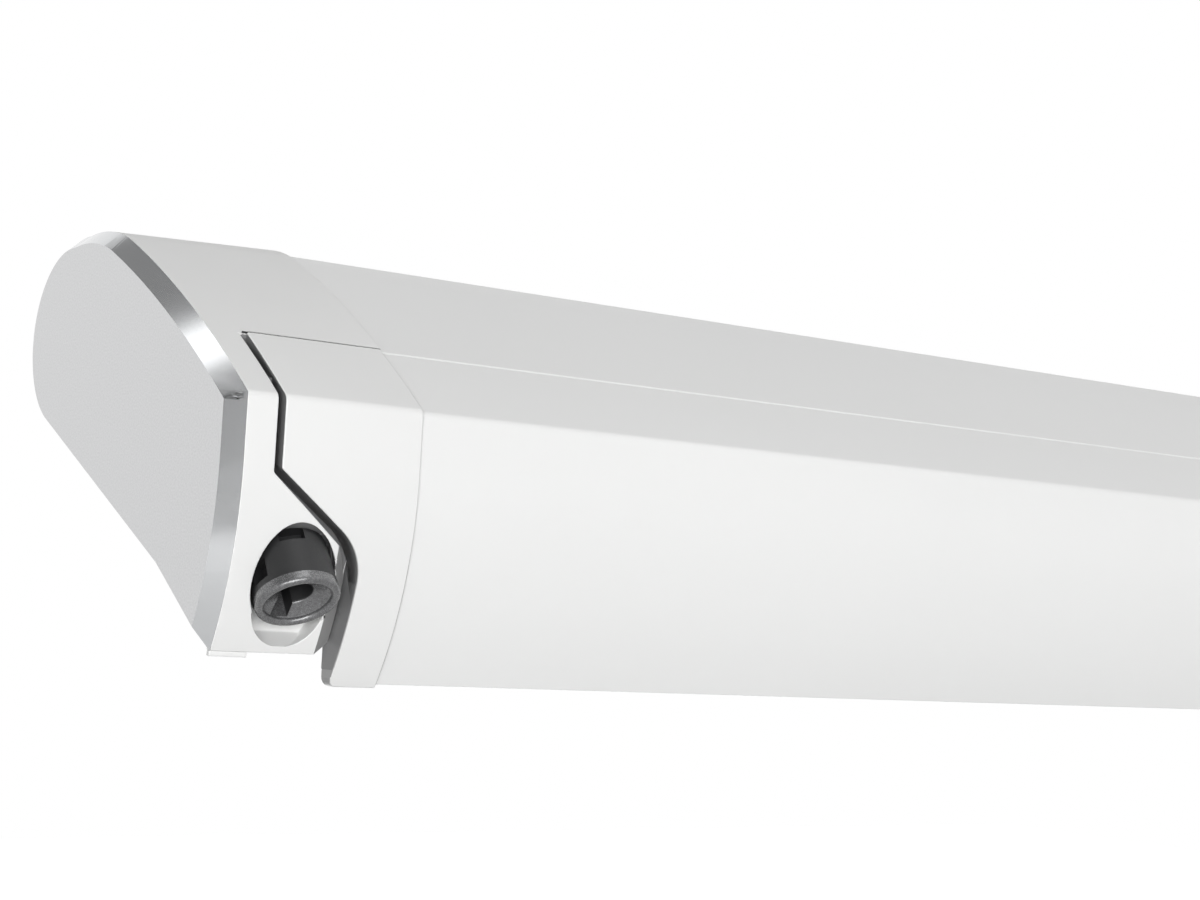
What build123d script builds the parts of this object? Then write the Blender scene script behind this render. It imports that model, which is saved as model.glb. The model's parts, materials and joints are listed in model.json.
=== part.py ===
from build123d import *
import math
import os

os.makedirs("parts", exist_ok=True)

# Roll out awning for the roof edge of a camper, closed, in millimetres.
# The origin is at mid-length on the pad under the housing that rests on the roof.
# X runs along the awning, Y points to the vehicle and Z up.
# Cross sections are drawn from the crease, the front edge where the lead rail's
# sloping top meets its front: local x is back from the crease and local y up.

# Overall size
overall_length = 2600.0
plate_thickness = 5.7
cap_width = 62.9
body_depth = 174.3
body_top = 66.2
plate_end_top = 64.0
bevel_x = overall_length / 2 - plate_thickness
joint_x = bevel_x - cap_width

# Roof pad
pad_back = 132.0
pad_width = 20.0
pad_drop = 12.0
crease_y = -pad_back
crease_z = pad_drop

# Outline of the body
slope_mid_share = (0.2955, 0.533)
slope_end_share = (0.5737, 0.920)
brow_mid_share = (0.6627, 0.985)
brow_end_share = (0.775, 0.993)
rear_mid_share = (0.9954, 0.514)
belly_end_share = (0.8749, -0.110)
belly_knee_share = (0.2851, -0.8716)
front_flat = 20.0
front_radius = 128.0
front_drop = 80.3
rail_drop = 90.5

# Walls, gaps and overruns
wall = 2.2
cap_wall = 2.6
cap_proud = 1.2
seam_back = 31.4
seam_gap = 0.7
run_clear = 0.3
fit_clear = 0.05
cut_over = 5.0

# Arms and travel
arm_pitch = 8.0
pivot_spacing = 1050.0
shoulder_x = 1150.0
upper_back = 66.0
elbow_back = 54.5
fore_back = 43.0
arm_level = -17.0

# Roller
roller_back = 110.0
roller_level = 21.0
roller_radius = 22.0
roller_wall = 1.2
roll_radius = 30.5


def section(x):
    """Plane across the awning, seen along +X."""
    return Plane(origin=(x, crease_y, crease_z), x_dir=(0, 1, 0), z_dir=(1, 0, 0))


def elevation(back):
    """Plane seen from the front, measured inward from the left bevel."""
    return Plane(origin=(-bevel_x, crease_y + back, crease_z), x_dir=(1, 0, 0), z_dir=(0, -1, 0))


def at_share(share, top):
    """Point of the outline from its shares of the depth and of the height."""
    return (share[0] * body_depth, share[1] * top)


def front_back(level):
    """How far the front face lies behind the crease at a level below it."""
    below = max(0.0, -level - front_flat)
    return front_radius - math.sqrt(front_radius**2 - below**2)


def front_point(level):
    return (front_back(level), level)


def belly_point(along, inward):
    """Point by its distance along the sloping underside and its distance inside it."""
    start = Vector(*front_point(-front_drop))
    end = Vector(*at_share(belly_end_share, body_top))
    course = (end - start).normalized()
    spot = start + course * along + Vector(-course.Y, course.X) * inward
    return (spot.X, spot.Y)


def body_outline(top):
    """Closed outline of the body's cross section, up to the given top."""
    with BuildSketch() as outline:
        with BuildLine():
            slope_end = at_share(slope_end_share, top)
            brow_end = at_share(brow_end_share, top)
            belly_end = at_share(belly_end_share, body_top)
            belly_start = front_point(-front_drop)
            ThreePointArc((0, 0), at_share(slope_mid_share, top), slope_end)
            ThreePointArc(slope_end, at_share(brow_mid_share, top), brow_end)
            ThreePointArc(brow_end, at_share(rear_mid_share, body_top), belly_end)
            Polyline(belly_end, at_share(belly_knee_share, body_top), belly_start)
            middle = front_point(-(front_drop + front_flat) / 2)
            ThreePointArc(belly_start, middle, front_point(-front_flat))
            Line(front_point(-front_flat), (0, 0))
        make_face()
    return outline.sketch


def write_piece(piece, label):
    """Label a finished piece and write its file."""
    piece.part.label = label
    export_step(piece.part, f"parts/{label}.step")


def write_pair(piece, label):
    """Write a piece of the left side and its mirror image on the right."""
    write_piece(piece, f"left_{label}")
    with BuildPart() as opposite:
        mirror(piece.part, about=Plane.YZ)
    write_piece(opposite, f"right_{label}")


# Housing
# The long extruded shell with its roof pad, screw channels and mounting holes.
channel_radius = 3.8
screw_radius = 2.0
channel_high_share = (0.9083, 0.772)
channel_low_along = 52.0
channel_low_inward = 10.2
belly_stop = 50.0
mount_hole_radius = 3.5
mount_hole_spacing = 60.0
station_reach = 1050.0
station_x = [-station_reach, 0, station_reach]
lid_front = seam_back + seam_gap
channel_spots = [at_share(channel_high_share, body_top), belly_point(channel_low_along, channel_low_inward)]

whole = body_outline(body_top)
with BuildSketch() as housing_solid:
    offset(whole, amount=-cap_proud)
    with Locations((pad_back, -pad_drop)):
        Rectangle(pad_width, 2 * pad_drop, align=(Align.CENTER, Align.MAX), mode=Mode.SUBTRACT)
with BuildSketch() as housing_inside:
    offset(housing_solid.sketch, amount=-wall)
with BuildSketch() as housing_section:
    add(housing_solid.sketch)
    add(housing_inside.sketch, mode=Mode.SUBTRACT)
    with Locations(*channel_spots):
        Circle(channel_radius)
    with BuildLine():
        Polyline(
            (-cut_over, -rail_drop),
            (belly_stop, -rail_drop),
            (belly_stop, 0),
            (lid_front, 0),
            (lid_front, body_top),
            (-cut_over, body_top),
            close=True,
        )
    make_face(mode=Mode.SUBTRACT)
    with Locations(*channel_spots):
        Circle(screw_radius, mode=Mode.SUBTRACT)

pad_plane = Plane(origin=(0, 0, 0), x_dir=(1, 0, 0), z_dir=(0, 0, 1))
with BuildPart() as housing:
    with BuildSketch(section(-joint_x)):
        add(housing_section.sketch)
    extrude(amount=2 * joint_x)
    with BuildSketch(pad_plane.offset(-wall)):
        with Locations(*[(x, 0) for x in station_x]):
            with GridLocations(mount_hole_spacing, 1, 2, 1):
                Circle(mount_hole_radius)
    extrude(amount=3 * wall, mode=Mode.SUBTRACT)
write_piece(housing, "housing")

# Lid seal
# A rubber strip under the lid's front edge that the lead rail closes against.
seal_depth = 5.0
seal_thick = 1.6
seal_inset = 2.0
with BuildPart() as lid_seal:
    with BuildSketch(section(-joint_x)):
        offset(housing_inside.sketch, amount=-fit_clear)
        add(offset(housing_inside.sketch, amount=-seal_thick, mode=Mode.PRIVATE), mode=Mode.SUBTRACT)
        with Locations((lid_front + seal_inset, 0)):
            Rectangle(seal_depth, body_top, align=(Align.MIN, Align.MIN), mode=Mode.INTERSECT)
    extrude(amount=2 * joint_x)
write_piece(lid_seal, "lid_seal")

# Lead rail
# The front extrusion, with the groove for the cloth and the channel for the legs.
rail_back_wall = 30.0
rail_leg_wall = 47.0
rail_leg_roof = -54.0
rail_leg_drop = 80.0
rail_rib_back = 24.0
rail_rib_drop = 74.0
rail_lip = 3.2
groove_back = 27.3
groove_level = 12.2
groove_radius = 3.2
groove_wall = 1.5
groove_mouth = 2.6
cloth_slope = 27.5

with BuildSketch() as rail_full:
    with BuildLine():
        slope_end = at_share(slope_end_share, body_top)
        rail_foot = front_point(-rail_drop)
        ThreePointArc((0, 0), at_share(slope_mid_share, body_top), slope_end)
        Line(slope_end, (slope_end[0], -rail_drop))
        Line((slope_end[0], -rail_drop), rail_foot)
        ThreePointArc(rail_foot, front_point(-(rail_drop + front_flat) / 2), front_point(-front_flat))
        Line(front_point(-front_flat), (0, 0))
    make_face()
with BuildSketch() as rail_solid:
    offset(rail_full.sketch, amount=-cap_proud)
with BuildSketch() as rail_section:
    add(rail_solid.sketch)
    offset(rail_solid.sketch, amount=-wall, mode=Mode.SUBTRACT)
    with Locations((seam_back, -rail_drop)):
        Rectangle(body_depth, body_depth, align=(Align.MIN, Align.MIN), mode=Mode.SUBTRACT)
    with Locations((rail_foot[0] + rail_lip, -rail_drop)):
        Rectangle(body_depth, wall + 2 * cap_proud, align=(Align.MIN, Align.MIN), mode=Mode.SUBTRACT)
    with Locations((rail_back_wall, rail_leg_roof)):
        Rectangle(wall, groove_level - rail_leg_roof - groove_radius, align=(Align.MAX, Align.MIN))
    with Locations((rail_leg_wall, rail_leg_roof)):
        roof_width = rail_leg_wall - front_back(rail_leg_roof) - cap_proud - wall / 2
        Rectangle(roof_width, wall, align=(Align.MAX, Align.MIN))
        Rectangle(wall, rail_leg_drop + rail_leg_roof, align=(Align.MAX, Align.MAX))
    with Locations((rail_rib_back, rail_leg_roof)):
        Rectangle(wall, rail_rib_drop + rail_leg_roof, align=(Align.MAX, Align.MAX))
    with Locations((groove_back, groove_level)):
        Circle(groove_radius + groove_wall)
        Circle(groove_radius, mode=Mode.SUBTRACT)
    with Locations(Location((groove_back, groove_level), cloth_slope)):
        Rectangle(2 * groove_radius, groove_mouth, align=(Align.MIN, Align.CENTER), mode=Mode.SUBTRACT)

leg_wall_gap = rail_leg_wall - wall - rail_rib_back
leg_side = 19.0
leg_roof_gap = 3.0
leg_centre_back = rail_rib_back + leg_wall_gap / 2
leg_centre_level = rail_leg_roof - leg_roof_gap - leg_side / 2
leg_pivot_x = 1175.0
leg_pin_radius = 3.0
rail_pin_over = 0.8


def rear_plane(back):
    """Plane facing the vehicle at a distance behind the crease, local x along the awning."""
    return Plane(origin=(0, crease_y + back, crease_z), x_dir=(1, 0, 0), z_dir=(0, -1, 0))


rail_half = joint_x - run_clear
with BuildPart() as lead_rail:
    with BuildSketch(section(-rail_half)):
        add(rail_section.sketch)
    extrude(amount=2 * rail_half)
    with BuildSketch(rear_plane(rail_leg_wall + cut_over)):
        with Locations((-leg_pivot_x, leg_centre_level), (leg_pivot_x, leg_centre_level)):
            Circle(leg_pin_radius + fit_clear)
    extrude(amount=rail_leg_wall + cut_over - rail_rib_back + wall + rail_pin_over, mode=Mode.SUBTRACT)
write_piece(lead_rail, "lead_rail")

# Cloth at the rail
# The piping rod in the groove and the strip of cloth behind it.
piping_radius = groove_radius - run_clear
cloth_thick = 0.6
piping_inset = 2.0
with BuildPart() as canopy_piping:
    with BuildSketch(section(-joint_x + piping_inset)):
        with Locations((groove_back, groove_level)):
            Circle(piping_radius)
    extrude(amount=2 * (joint_x - piping_inset))
write_piece(canopy_piping, "canopy_piping")

roll_run = math.dist((groove_back, groove_level), (roller_back, roller_level))
cloth_run = math.sqrt(roll_run**2 - roll_radius**2)
cloth_angle = math.degrees(
    math.atan2(roller_level - groove_level, roller_back - groove_back) + math.asin(roll_radius / roll_run)
)
cloth_start = groove_radius + groove_wall + run_clear
cloth_end_gap = 6.0
cloth_inset = 20.0
with BuildPart() as canopy_web:
    with BuildSketch(section(-joint_x + cloth_inset)):
        with Locations(Location((groove_back, groove_level), cloth_angle)):
            with Locations((cloth_start, 0)):
                web_length = cloth_run - cloth_start - cloth_end_gap
                Rectangle(web_length, cloth_thick, align=(Align.MIN, Align.CENTER))
    extrude(amount=2 * (joint_x - cloth_inset))
write_piece(canopy_web, "canopy_web")

# End plates
# Bevelled metal plates that close the caps, with two studs behind.
bevel_width = 5.0
stud_radius = 3.0
stud_length = 6.0
stud_along = [38.0, 150.0]
stud_inward = [14.0, 12.0]
stud_spots = [belly_point(*place) for place in zip(stud_along, stud_inward)]

with BuildPart() as left_end_plate:
    with BuildSketch(section(-bevel_x)):
        add(body_outline(plate_end_top))
    with BuildSketch(section(-bevel_x - plate_thickness)):
        offset(body_outline(plate_end_top), amount=-bevel_width)
    loft(ruled=True)
    with BuildSketch(section(-bevel_x)):
        with Locations(*stud_spots):
            Circle(stud_radius)
    extrude(amount=stud_length)
write_pair(left_end_plate, "end_plate")

# Crank line
# The crank's axis leans forward from the vertical and leaves through the left cap.
crank_inset = 22.8
crank_mouth_back = 2.0
crank_mouth_level = -64.0
crank_lean = 34.0
lean = math.radians(crank_lean)


def crank_point(along):
    """Point on the crank's axis, by its distance up from the mouth."""
    back = crank_mouth_back + along * math.sin(lean)
    return (back, crank_mouth_level + along * math.cos(lean))


def crank_plane(along):
    """Plane across the crank's axis, facing up along it."""
    back, level = crank_point(along)
    origin = (-bevel_x + crank_inset, crease_y + back, crease_z + level)
    return Plane(origin=origin, x_dir=(1, 0, 0), z_dir=(0, math.sin(lean), math.cos(lean)))


# Worm gearing
# The worm on the crank's line turns a wheel on the lay shaft, which drives the roller.
worm_along = 82.0
worm_pitch_radius = 8.5
wheel_pitch_radius = 17.5
wheel_teeth = 10
wheel_width = 8.0
worm_length = 25.0
lay_pinion_teeth = 28
roller_gear_teeth = 20
spur_width = 5.0
spur_gap = 0.6
tooth_thickness_share = 0.40
mesh_distance = worm_pitch_radius + wheel_pitch_radius
worm_spot = crank_point(worm_along)
lay_back = worm_spot[0] + mesh_distance * math.cos(lean)
lay_level = worm_spot[1] - mesh_distance * math.sin(lean)
spur_distance = math.dist((lay_back, lay_level), (roller_back, roller_level))
spur_module = 2 * spur_distance / (lay_pinion_teeth + roller_gear_teeth)
worm_module = 2 * wheel_pitch_radius / wheel_teeth
tooth_root_share = 1.25
tooth_tip_share = 0.9
worm_root_radius = worm_pitch_radius - tooth_root_share * worm_module
worm_tip_radius = worm_pitch_radius + tooth_tip_share * worm_module
spur_start = crank_inset + worm_tip_radius + spur_gap
lay_shaft_radius = 5.0
roller_shaft_radius = 7.0
plate_start = spur_start + spur_width + 2 * spur_gap
bearing_plate_thick = 4.0

# End caps
# Moulded caps with a pocket for the lead rail's cap; the left one has the crank's well.
pocket_side = 10.7
pocket_side_drop = 24.9
pocket_low_side = 44.4
pocket_low_drop = 53.0
pocket_round = 1.5
pocket_low_round = 22.0
pocket_depth = 12.0
pocket_low_depth = 28.0
pocket_low_level = -45.0
pocket_top = 9.0
scoop_side = 36.2
scoop_top = -40.0
lip_width = 13.0
lip_back = 15.6
lip_reach = 2.0
lip_drop = 1.6
slot_width = 25.2
slot_top = -41.0
slot_bottom = -78.1
well_depth = 20.0
well_rise = 38.0
well_radius = 14.4
well_end = 21.0
throat_radius = 10.0
throat_end = 29.5
journal_radius = 4.5
journal_clear = 0.05
boss_wall = 2.4
bore_over = 12.0
counterbore_radius = 4.2
counterbore_depth = 9.0
slot_centre = (crank_inset + run_clear, (slot_top + slot_bottom) / 2)
pitch = math.radians(arm_pitch)
rail_course = (0, math.cos(pitch), math.sin(pitch))


def pocket_sketch(margin):
    """Front outline of the pocket, narrowed by the margin on its free sides."""
    with BuildSketch() as outline:
        with BuildLine():
            FilletPolyline(
                (pocket_side + margin, body_top),
                (pocket_side + margin, -pocket_side_drop + margin / 2),
                (pocket_low_side + margin, -pocket_low_drop + margin / 2),
                (pocket_low_side + margin, -rail_drop - cut_over),
                radius=(pocket_round, pocket_low_round),
            )
            Polyline(
                (pocket_low_side + margin, -rail_drop - cut_over),
                (cap_width + cut_over, -rail_drop - cut_over),
                (cap_width + cut_over, body_top),
                (pocket_side + margin, body_top),
            )
        make_face()
    return outline.sketch


def upper_pocket(margin, level):
    """Side outline of the space under the seam, whose floor follows the rail's course."""
    fall = (seam_back + 2 * cut_over) * math.tan(pitch)
    with BuildSketch() as outline:
        with BuildLine():
            Polyline(
                (seam_back - margin, level + margin),
                (seam_back - margin, 2 * body_top),
                (-2 * cut_over, 2 * body_top),
                (-2 * cut_over, level + margin - fall),
                close=True,
            )
        make_face()
    return outline.sketch


def pocket_block(margin, depth):
    """Space of the pocket: shallow below, and back to the seam above its floor."""
    with BuildSketch(elevation(-cut_over)) as front:
        add(pocket_sketch(margin))
    with BuildPart() as upper:
        extrude(front.sketch, amount=body_depth, dir=rail_course)
        with BuildSketch(section(-bevel_x)):
            add(upper_pocket(margin, pocket_top))
        extrude(amount=cap_width + 2 * cut_over, mode=Mode.INTERSECT)
    with BuildPart() as block:
        extrude(front.sketch, amount=depth + cut_over, dir=rail_course)
        with BuildSketch(section(-bevel_x)):
            with Locations((seam_back - margin, -2 * body_depth)):
                Rectangle(2 * body_depth, 4 * body_depth, align=(Align.MAX, Align.MIN))
        extrude(amount=cap_width + 2 * cut_over, mode=Mode.INTERSECT)
        add(upper.part)
        with BuildSketch(elevation(-cut_over)):
            with Locations((pocket_low_side + margin, -rail_drop - cut_over)):
                Rectangle(
                    cap_width + cut_over - pocket_low_side - margin,
                    rail_drop + cut_over + pocket_low_level - margin,
                    align=(Align.MIN, Align.MIN),
                )
        extrude(amount=pocket_low_depth + cut_over - margin, dir=rail_course)
    return block.part


def well_block(margin):
    """Space of the crank's well: a slot with a sloping floor and two bores along the crank."""
    with BuildPart() as block:
        with BuildSketch(elevation(-cut_over)):
            with Locations(slot_centre):
                SlotOverall(slot_top - slot_bottom + 2 * margin, slot_width + 2 * margin, rotation=90)
        extrude(amount=-(well_depth + cut_over + margin))
        floor_start = (front_back(slot_bottom), slot_bottom - margin)
        floor_rise = body_depth * math.tan(math.radians(well_rise))
        with BuildSketch(section(-bevel_x)):
            with BuildLine():
                Polyline(
                    (-2 * cut_over, floor_start[1]),
                    floor_start,
                    (floor_start[0] + body_depth, floor_start[1] + floor_rise),
                    (floor_start[0] + body_depth, body_depth),
                    (-2 * cut_over, body_depth),
                    close=True,
                )
            make_face()
        extrude(amount=cap_width, mode=Mode.INTERSECT)
        with BuildSketch(crank_plane(0)):
            Circle(well_radius + margin)
        extrude(amount=well_end + margin)
        with BuildSketch(crank_plane(0)):
            Circle(throat_radius + margin)
        extrude(amount=throat_end + margin)
    return block.part


def scoop_block():
    """Wedge beside the pocket's lower part, as deep behind the front face as it is wide."""
    with BuildPart() as block:
        for side, depth in ((scoop_side, 0), (cap_width, cap_width - scoop_side)):
            with BuildSketch(section(-bevel_x + side)):
                with BuildLine():
                    low = front_point(-rail_drop)
                    middle = front_point((scoop_top - rail_drop) / 2)
                    high = front_point(scoop_top)
                    ThreePointArc(*[(back + depth, level) for back, level in (low, middle, high)])
                    Polyline(
                        (high[0] + depth, high[1]),
                        (-cut_over, scoop_top),
                        (-cut_over, -rail_drop),
                        (low[0] + depth, low[1]),
                    )
                make_face()
        loft(ruled=True)
    return block.part


def cap_part(with_crank):
    """An end cap of the left side, with or without the crank's well."""
    with BuildPart() as cavity:
        for start, top in ((cap_wall, plate_end_top), (cap_width, body_top)):
            with BuildSketch(section(-bevel_x + start)):
                offset(body_outline(top), amount=-cap_wall)
        loft(ruled=True)
        add(pocket_block(-cap_wall, pocket_depth + cap_wall), mode=Mode.SUBTRACT)
        with Locations((-cap_wall, cap_wall, 0)):
            add(scoop_block(), mode=Mode.SUBTRACT)
        with BuildSketch(section(-bevel_x + spur_start - run_clear)):
            with Locations((lay_back, lay_level)):
                Circle(spur_module * lay_pinion_teeth / 2 + spur_module)
        extrude(amount=spur_width + 2 * run_clear)
        if with_crank:
            add(well_block(boss_wall), mode=Mode.SUBTRACT)
        with BuildSketch(section(-bevel_x)):
            with Locations(*channel_spots):
                Circle(counterbore_radius + boss_wall)
            with Locations(*stud_spots):
                Circle(stud_radius + boss_wall)
        extrude(amount=cap_width, mode=Mode.SUBTRACT)
    with BuildPart() as cap:
        for start, top in ((0, plate_end_top), (cap_width, body_top)):
            with BuildSketch(section(-bevel_x + start)):
                add(body_outline(top))
        loft(ruled=True)
        with BuildSketch(section(-bevel_x)):
            with Locations((lip_back, -front_drop)):
                Rectangle(lip_reach, 2 * lip_drop, align=(Align.MIN, Align.CENTER))
        extrude(amount=lip_width)
        add(pocket_block(0, pocket_depth), mode=Mode.SUBTRACT)
        add(scoop_block(), mode=Mode.SUBTRACT)
        add(cavity.part.solids().sort_by(SortBy.VOLUME)[-1], mode=Mode.SUBTRACT)
        with BuildSketch(section(-bevel_x)):
            with Locations(*channel_spots):
                Circle(screw_radius + run_clear)
        extrude(amount=cap_width, mode=Mode.SUBTRACT)
        with BuildSketch(section(-bevel_x)):
            with Locations(*channel_spots):
                Circle(counterbore_radius)
        extrude(amount=counterbore_depth, mode=Mode.SUBTRACT)
        with BuildSketch(section(-bevel_x)):
            with Locations(*stud_spots):
                Circle(stud_radius + fit_clear)
        extrude(amount=stud_length + run_clear, mode=Mode.SUBTRACT)
        if with_crank:
            add(well_block(0), mode=Mode.SUBTRACT)
            with BuildSketch(crank_plane(0)):
                Circle(journal_radius + journal_clear)
            extrude(amount=throat_end + bore_over, mode=Mode.SUBTRACT)
    return cap


left_cap = cap_part(True)
write_piece(left_cap, "left_end_cap")
plain_cap = cap_part(False)
with BuildPart() as right_cap:
    mirror(plain_cap.part, about=Plane.YZ)
write_piece(right_cap, "right_end_cap")

# Cap screws
# Long screws through the caps into the housing's channels.
screw_grip = 20.0
screw_head_radius = 3.9
screw_head = 4.0
with BuildPart() as cap_screws:
    for side in (-1, 1):
        head_x = side * (bevel_x - counterbore_depth)
        with BuildSketch(section(head_x)):
            with Locations(*channel_spots):
                Circle(screw_head_radius)
        extrude(amount=side * screw_head)
        with BuildSketch(section(head_x)):
            with Locations(*channel_spots):
                Circle(screw_radius - fit_clear)
        extrude(amount=-side * (cap_width - counterbore_depth + screw_grip))
write_piece(cap_screws, "cap_screws")

# Gear frame
# Two plates and their posts carry the lay shaft, the roller's end and the worm's upper end.
frame_start = 2.9
frame_thick = 2.8
post_radius = 4.0
post_upper = (90.0, 46.0)
post_lower_along = 110.0
post_lower_inward = 9.5
post_spots = [post_upper, belly_point(post_lower_along, post_lower_inward)]
worm_pitch = math.pi * worm_module
thread_root_share = 0.27
thread_tip_share = 0.09
thread_root_half = thread_root_share * worm_pitch
thread_tip_half = thread_tip_share * worm_pitch
worm_bearing_along = worm_along + worm_length / 2 + thread_root_half + spur_gap
worm_bearing_thick = 7.0
worm_bearing_half = 7.5
worm_bearing_side = 5.0
worm_end_radius = 4.0
cap_inner = cap_wall + run_clear

with BuildPart() as gear_frame:
    for start, thick in ((frame_start, frame_thick), (plate_start, bearing_plate_thick)):
        with BuildSketch(section(-bevel_x + start)):
            offset(body_outline(plate_end_top), amount=-cap_inner)
            with Locations(*channel_spots):
                Circle(counterbore_radius + boss_wall + run_clear, mode=Mode.SUBTRACT)
            with Locations(*stud_spots):
                Circle(stud_radius + boss_wall + run_clear, mode=Mode.SUBTRACT)
        extrude(amount=thick)
    add(pocket_block(-cap_inner, pocket_depth + cap_inner), mode=Mode.SUBTRACT)
    with Locations((-cap_inner, cap_inner, 0)):
        add(scoop_block(), mode=Mode.SUBTRACT)
    add(well_block(boss_wall + run_clear), mode=Mode.SUBTRACT)
    with BuildSketch(section(-bevel_x + frame_start)):
        with Locations(*post_spots):
            Circle(post_radius)
    extrude(amount=plate_start - frame_start)
    with BuildSketch(crank_plane(worm_bearing_along)):
        with Locations((frame_start - crank_inset, 0)):
            Rectangle(
                crank_inset - frame_start + worm_bearing_side,
                2 * worm_bearing_half,
                align=(Align.MIN, Align.CENTER),
            )
        Circle(worm_end_radius + fit_clear, mode=Mode.SUBTRACT)
    extrude(amount=worm_bearing_thick)
    with BuildSketch(section(-bevel_x)):
        with Locations((lay_back, lay_level)):
            Circle(lay_shaft_radius + fit_clear)
        with Locations((roller_back, roller_level)):
            Circle(roller_shaft_radius + fit_clear)
    extrude(amount=cap_width, mode=Mode.SUBTRACT)
write_piece(gear_frame, "gear_frame")

# Roller bearing at the plain end
with BuildPart() as plain_bearing:
    with BuildSketch(section(-bevel_x + plate_start)):
        offset(body_outline(plate_end_top), amount=-cap_inner)
        with Locations(*channel_spots):
            Circle(counterbore_radius + boss_wall + run_clear, mode=Mode.SUBTRACT)
        with Locations(*stud_spots):
            Circle(stud_radius + boss_wall + run_clear, mode=Mode.SUBTRACT)
        with Locations((roller_back, roller_level)):
            Circle(roller_shaft_radius + fit_clear, mode=Mode.SUBTRACT)
    extrude(amount=bearing_plate_thick)
    add(pocket_block(-cap_inner, pocket_depth + cap_inner), mode=Mode.SUBTRACT)
    with Locations((-cap_inner, cap_inner, 0)):
        add(scoop_block(), mode=Mode.SUBTRACT)
with BuildPart() as roller_bearing:
    mirror(plain_bearing.part, about=Plane.YZ)
write_piece(roller_bearing, "roller_bearing")


tooth_root_step = (-1.2, 0.58)
tooth_tip_step = (0.85, 0.20)


def gear_outline(module, teeth, phase):
    """Spur gear outline with straight flanks; phase is the first tooth's angle in degrees."""
    pitch_radius = module * teeth / 2
    tooth_angle = 2 * math.pi / teeth
    levels = (tooth_root_step, (0.0, tooth_thickness_share), tooth_tip_step)
    points = []
    for tooth in range(teeth):
        middle = math.radians(phase) + tooth * tooth_angle
        flank = [(pitch_radius + rise * module, share * tooth_angle / 2) for rise, share in levels]
        rising = [(radius, middle - half) for radius, half in flank]
        falling = [(radius, middle + half) for radius, half in reversed(flank)]
        points += [(r * math.cos(a), r * math.sin(a)) for r, a in rising + falling]
    with BuildSketch() as outline:
        with BuildLine():
            Polyline(*points, close=True)
        make_face()
    return outline.sketch


# Crank eye
# The moulded funnel that the crank handle hooks into.
eye_mouth_radius = 11.4
eye_rim_radius = 13.5
eye_neck_radius = 11.2
eye_throat_radius = 4.8
eye_throat_depth = 15.0
eye_bore_depth = 20.0
eye_end = 28.0
eye_shoulder = 20.0
eye_shoulder_radius = 9.4
eye_rim_height = 4.0
eye_rim_round = 1.1
window_width = 5.5
window_start = 8.0
window_height = 8.5
window_count = 4
window_turn = 45.0
notch_width = 4.2
notch_turn = -60.0
eye_plane = Plane(
    origin=(-bevel_x + crank_inset, crease_y + crank_mouth_back, crease_z + crank_mouth_level),
    x_dir=(1, 0, 0),
    z_dir=(0, -math.cos(lean), math.sin(lean)),
)
crank_axis = Axis(origin=crank_plane(0).origin, direction=crank_plane(0).z_dir)
with BuildPart() as crank_eye:
    with BuildSketch(eye_plane):
        with BuildLine():
            Polyline(
                (0, eye_end),
                (journal_radius, eye_end),
                (eye_shoulder_radius, eye_shoulder),
                (eye_neck_radius, eye_rim_height + 2 * eye_rim_round),
                (eye_rim_radius, eye_rim_height),
                (eye_rim_radius, eye_rim_round),
                (eye_rim_radius - eye_rim_round, 0),
                (eye_mouth_radius, 0),
                (eye_throat_radius, eye_throat_depth),
                (eye_throat_radius, eye_bore_depth),
                (0, eye_bore_depth),
                close=True,
            )
        make_face()
    revolve(axis=crank_axis)
    with BuildSketch(crank_plane(window_start)):
        with PolarLocations(eye_neck_radius, window_count, start_angle=window_turn):
            Rectangle(eye_neck_radius, window_width)
    extrude(amount=window_height, mode=Mode.SUBTRACT)
    with BuildSketch(crank_plane(0)):
        with Locations(Location((0, 0), notch_turn)):
            Rectangle(eye_mouth_radius, notch_width, align=(Align.MIN, Align.CENTER))
    extrude(amount=eye_throat_depth, mode=Mode.SUBTRACT)
write_piece(crank_eye, "crank_eye")

# Worm shaft
worm_start = worm_along - worm_length / 2
with BuildPart() as worm_thread:
    with BuildLine() as thread_path:
        Helix(pitch=worm_pitch, height=worm_length, radius=worm_root_radius)
    with BuildSketch(Plane(origin=(worm_root_radius, 0, 0), x_dir=(1, 0, 0), z_dir=(0, 1, 0))):
        with BuildLine():
            Polyline(
                (-spur_gap, thread_root_half),
                (-spur_gap, -thread_root_half),
                (worm_tip_radius - worm_root_radius, -thread_tip_half),
                (worm_tip_radius - worm_root_radius, thread_tip_half),
                close=True,
            )
        make_face()
    sweep(path=thread_path.line, is_frenet=True)
with BuildPart() as worm_shaft:
    with BuildSketch(crank_plane(eye_end)):
        Circle(journal_radius)
    extrude(amount=worm_start - thread_root_half - eye_end)
    with BuildSketch(crank_plane(eye_end)):
        Circle(worm_root_radius)
    extrude(amount=worm_bearing_along - eye_end)
    with BuildSketch(crank_plane(worm_bearing_along)):
        Circle(worm_end_radius)
    extrude(amount=worm_bearing_thick + run_clear)
    with Locations(crank_plane(worm_start).location):
        add(worm_thread.part)
write_piece(worm_shaft, "worm_shaft")

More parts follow.
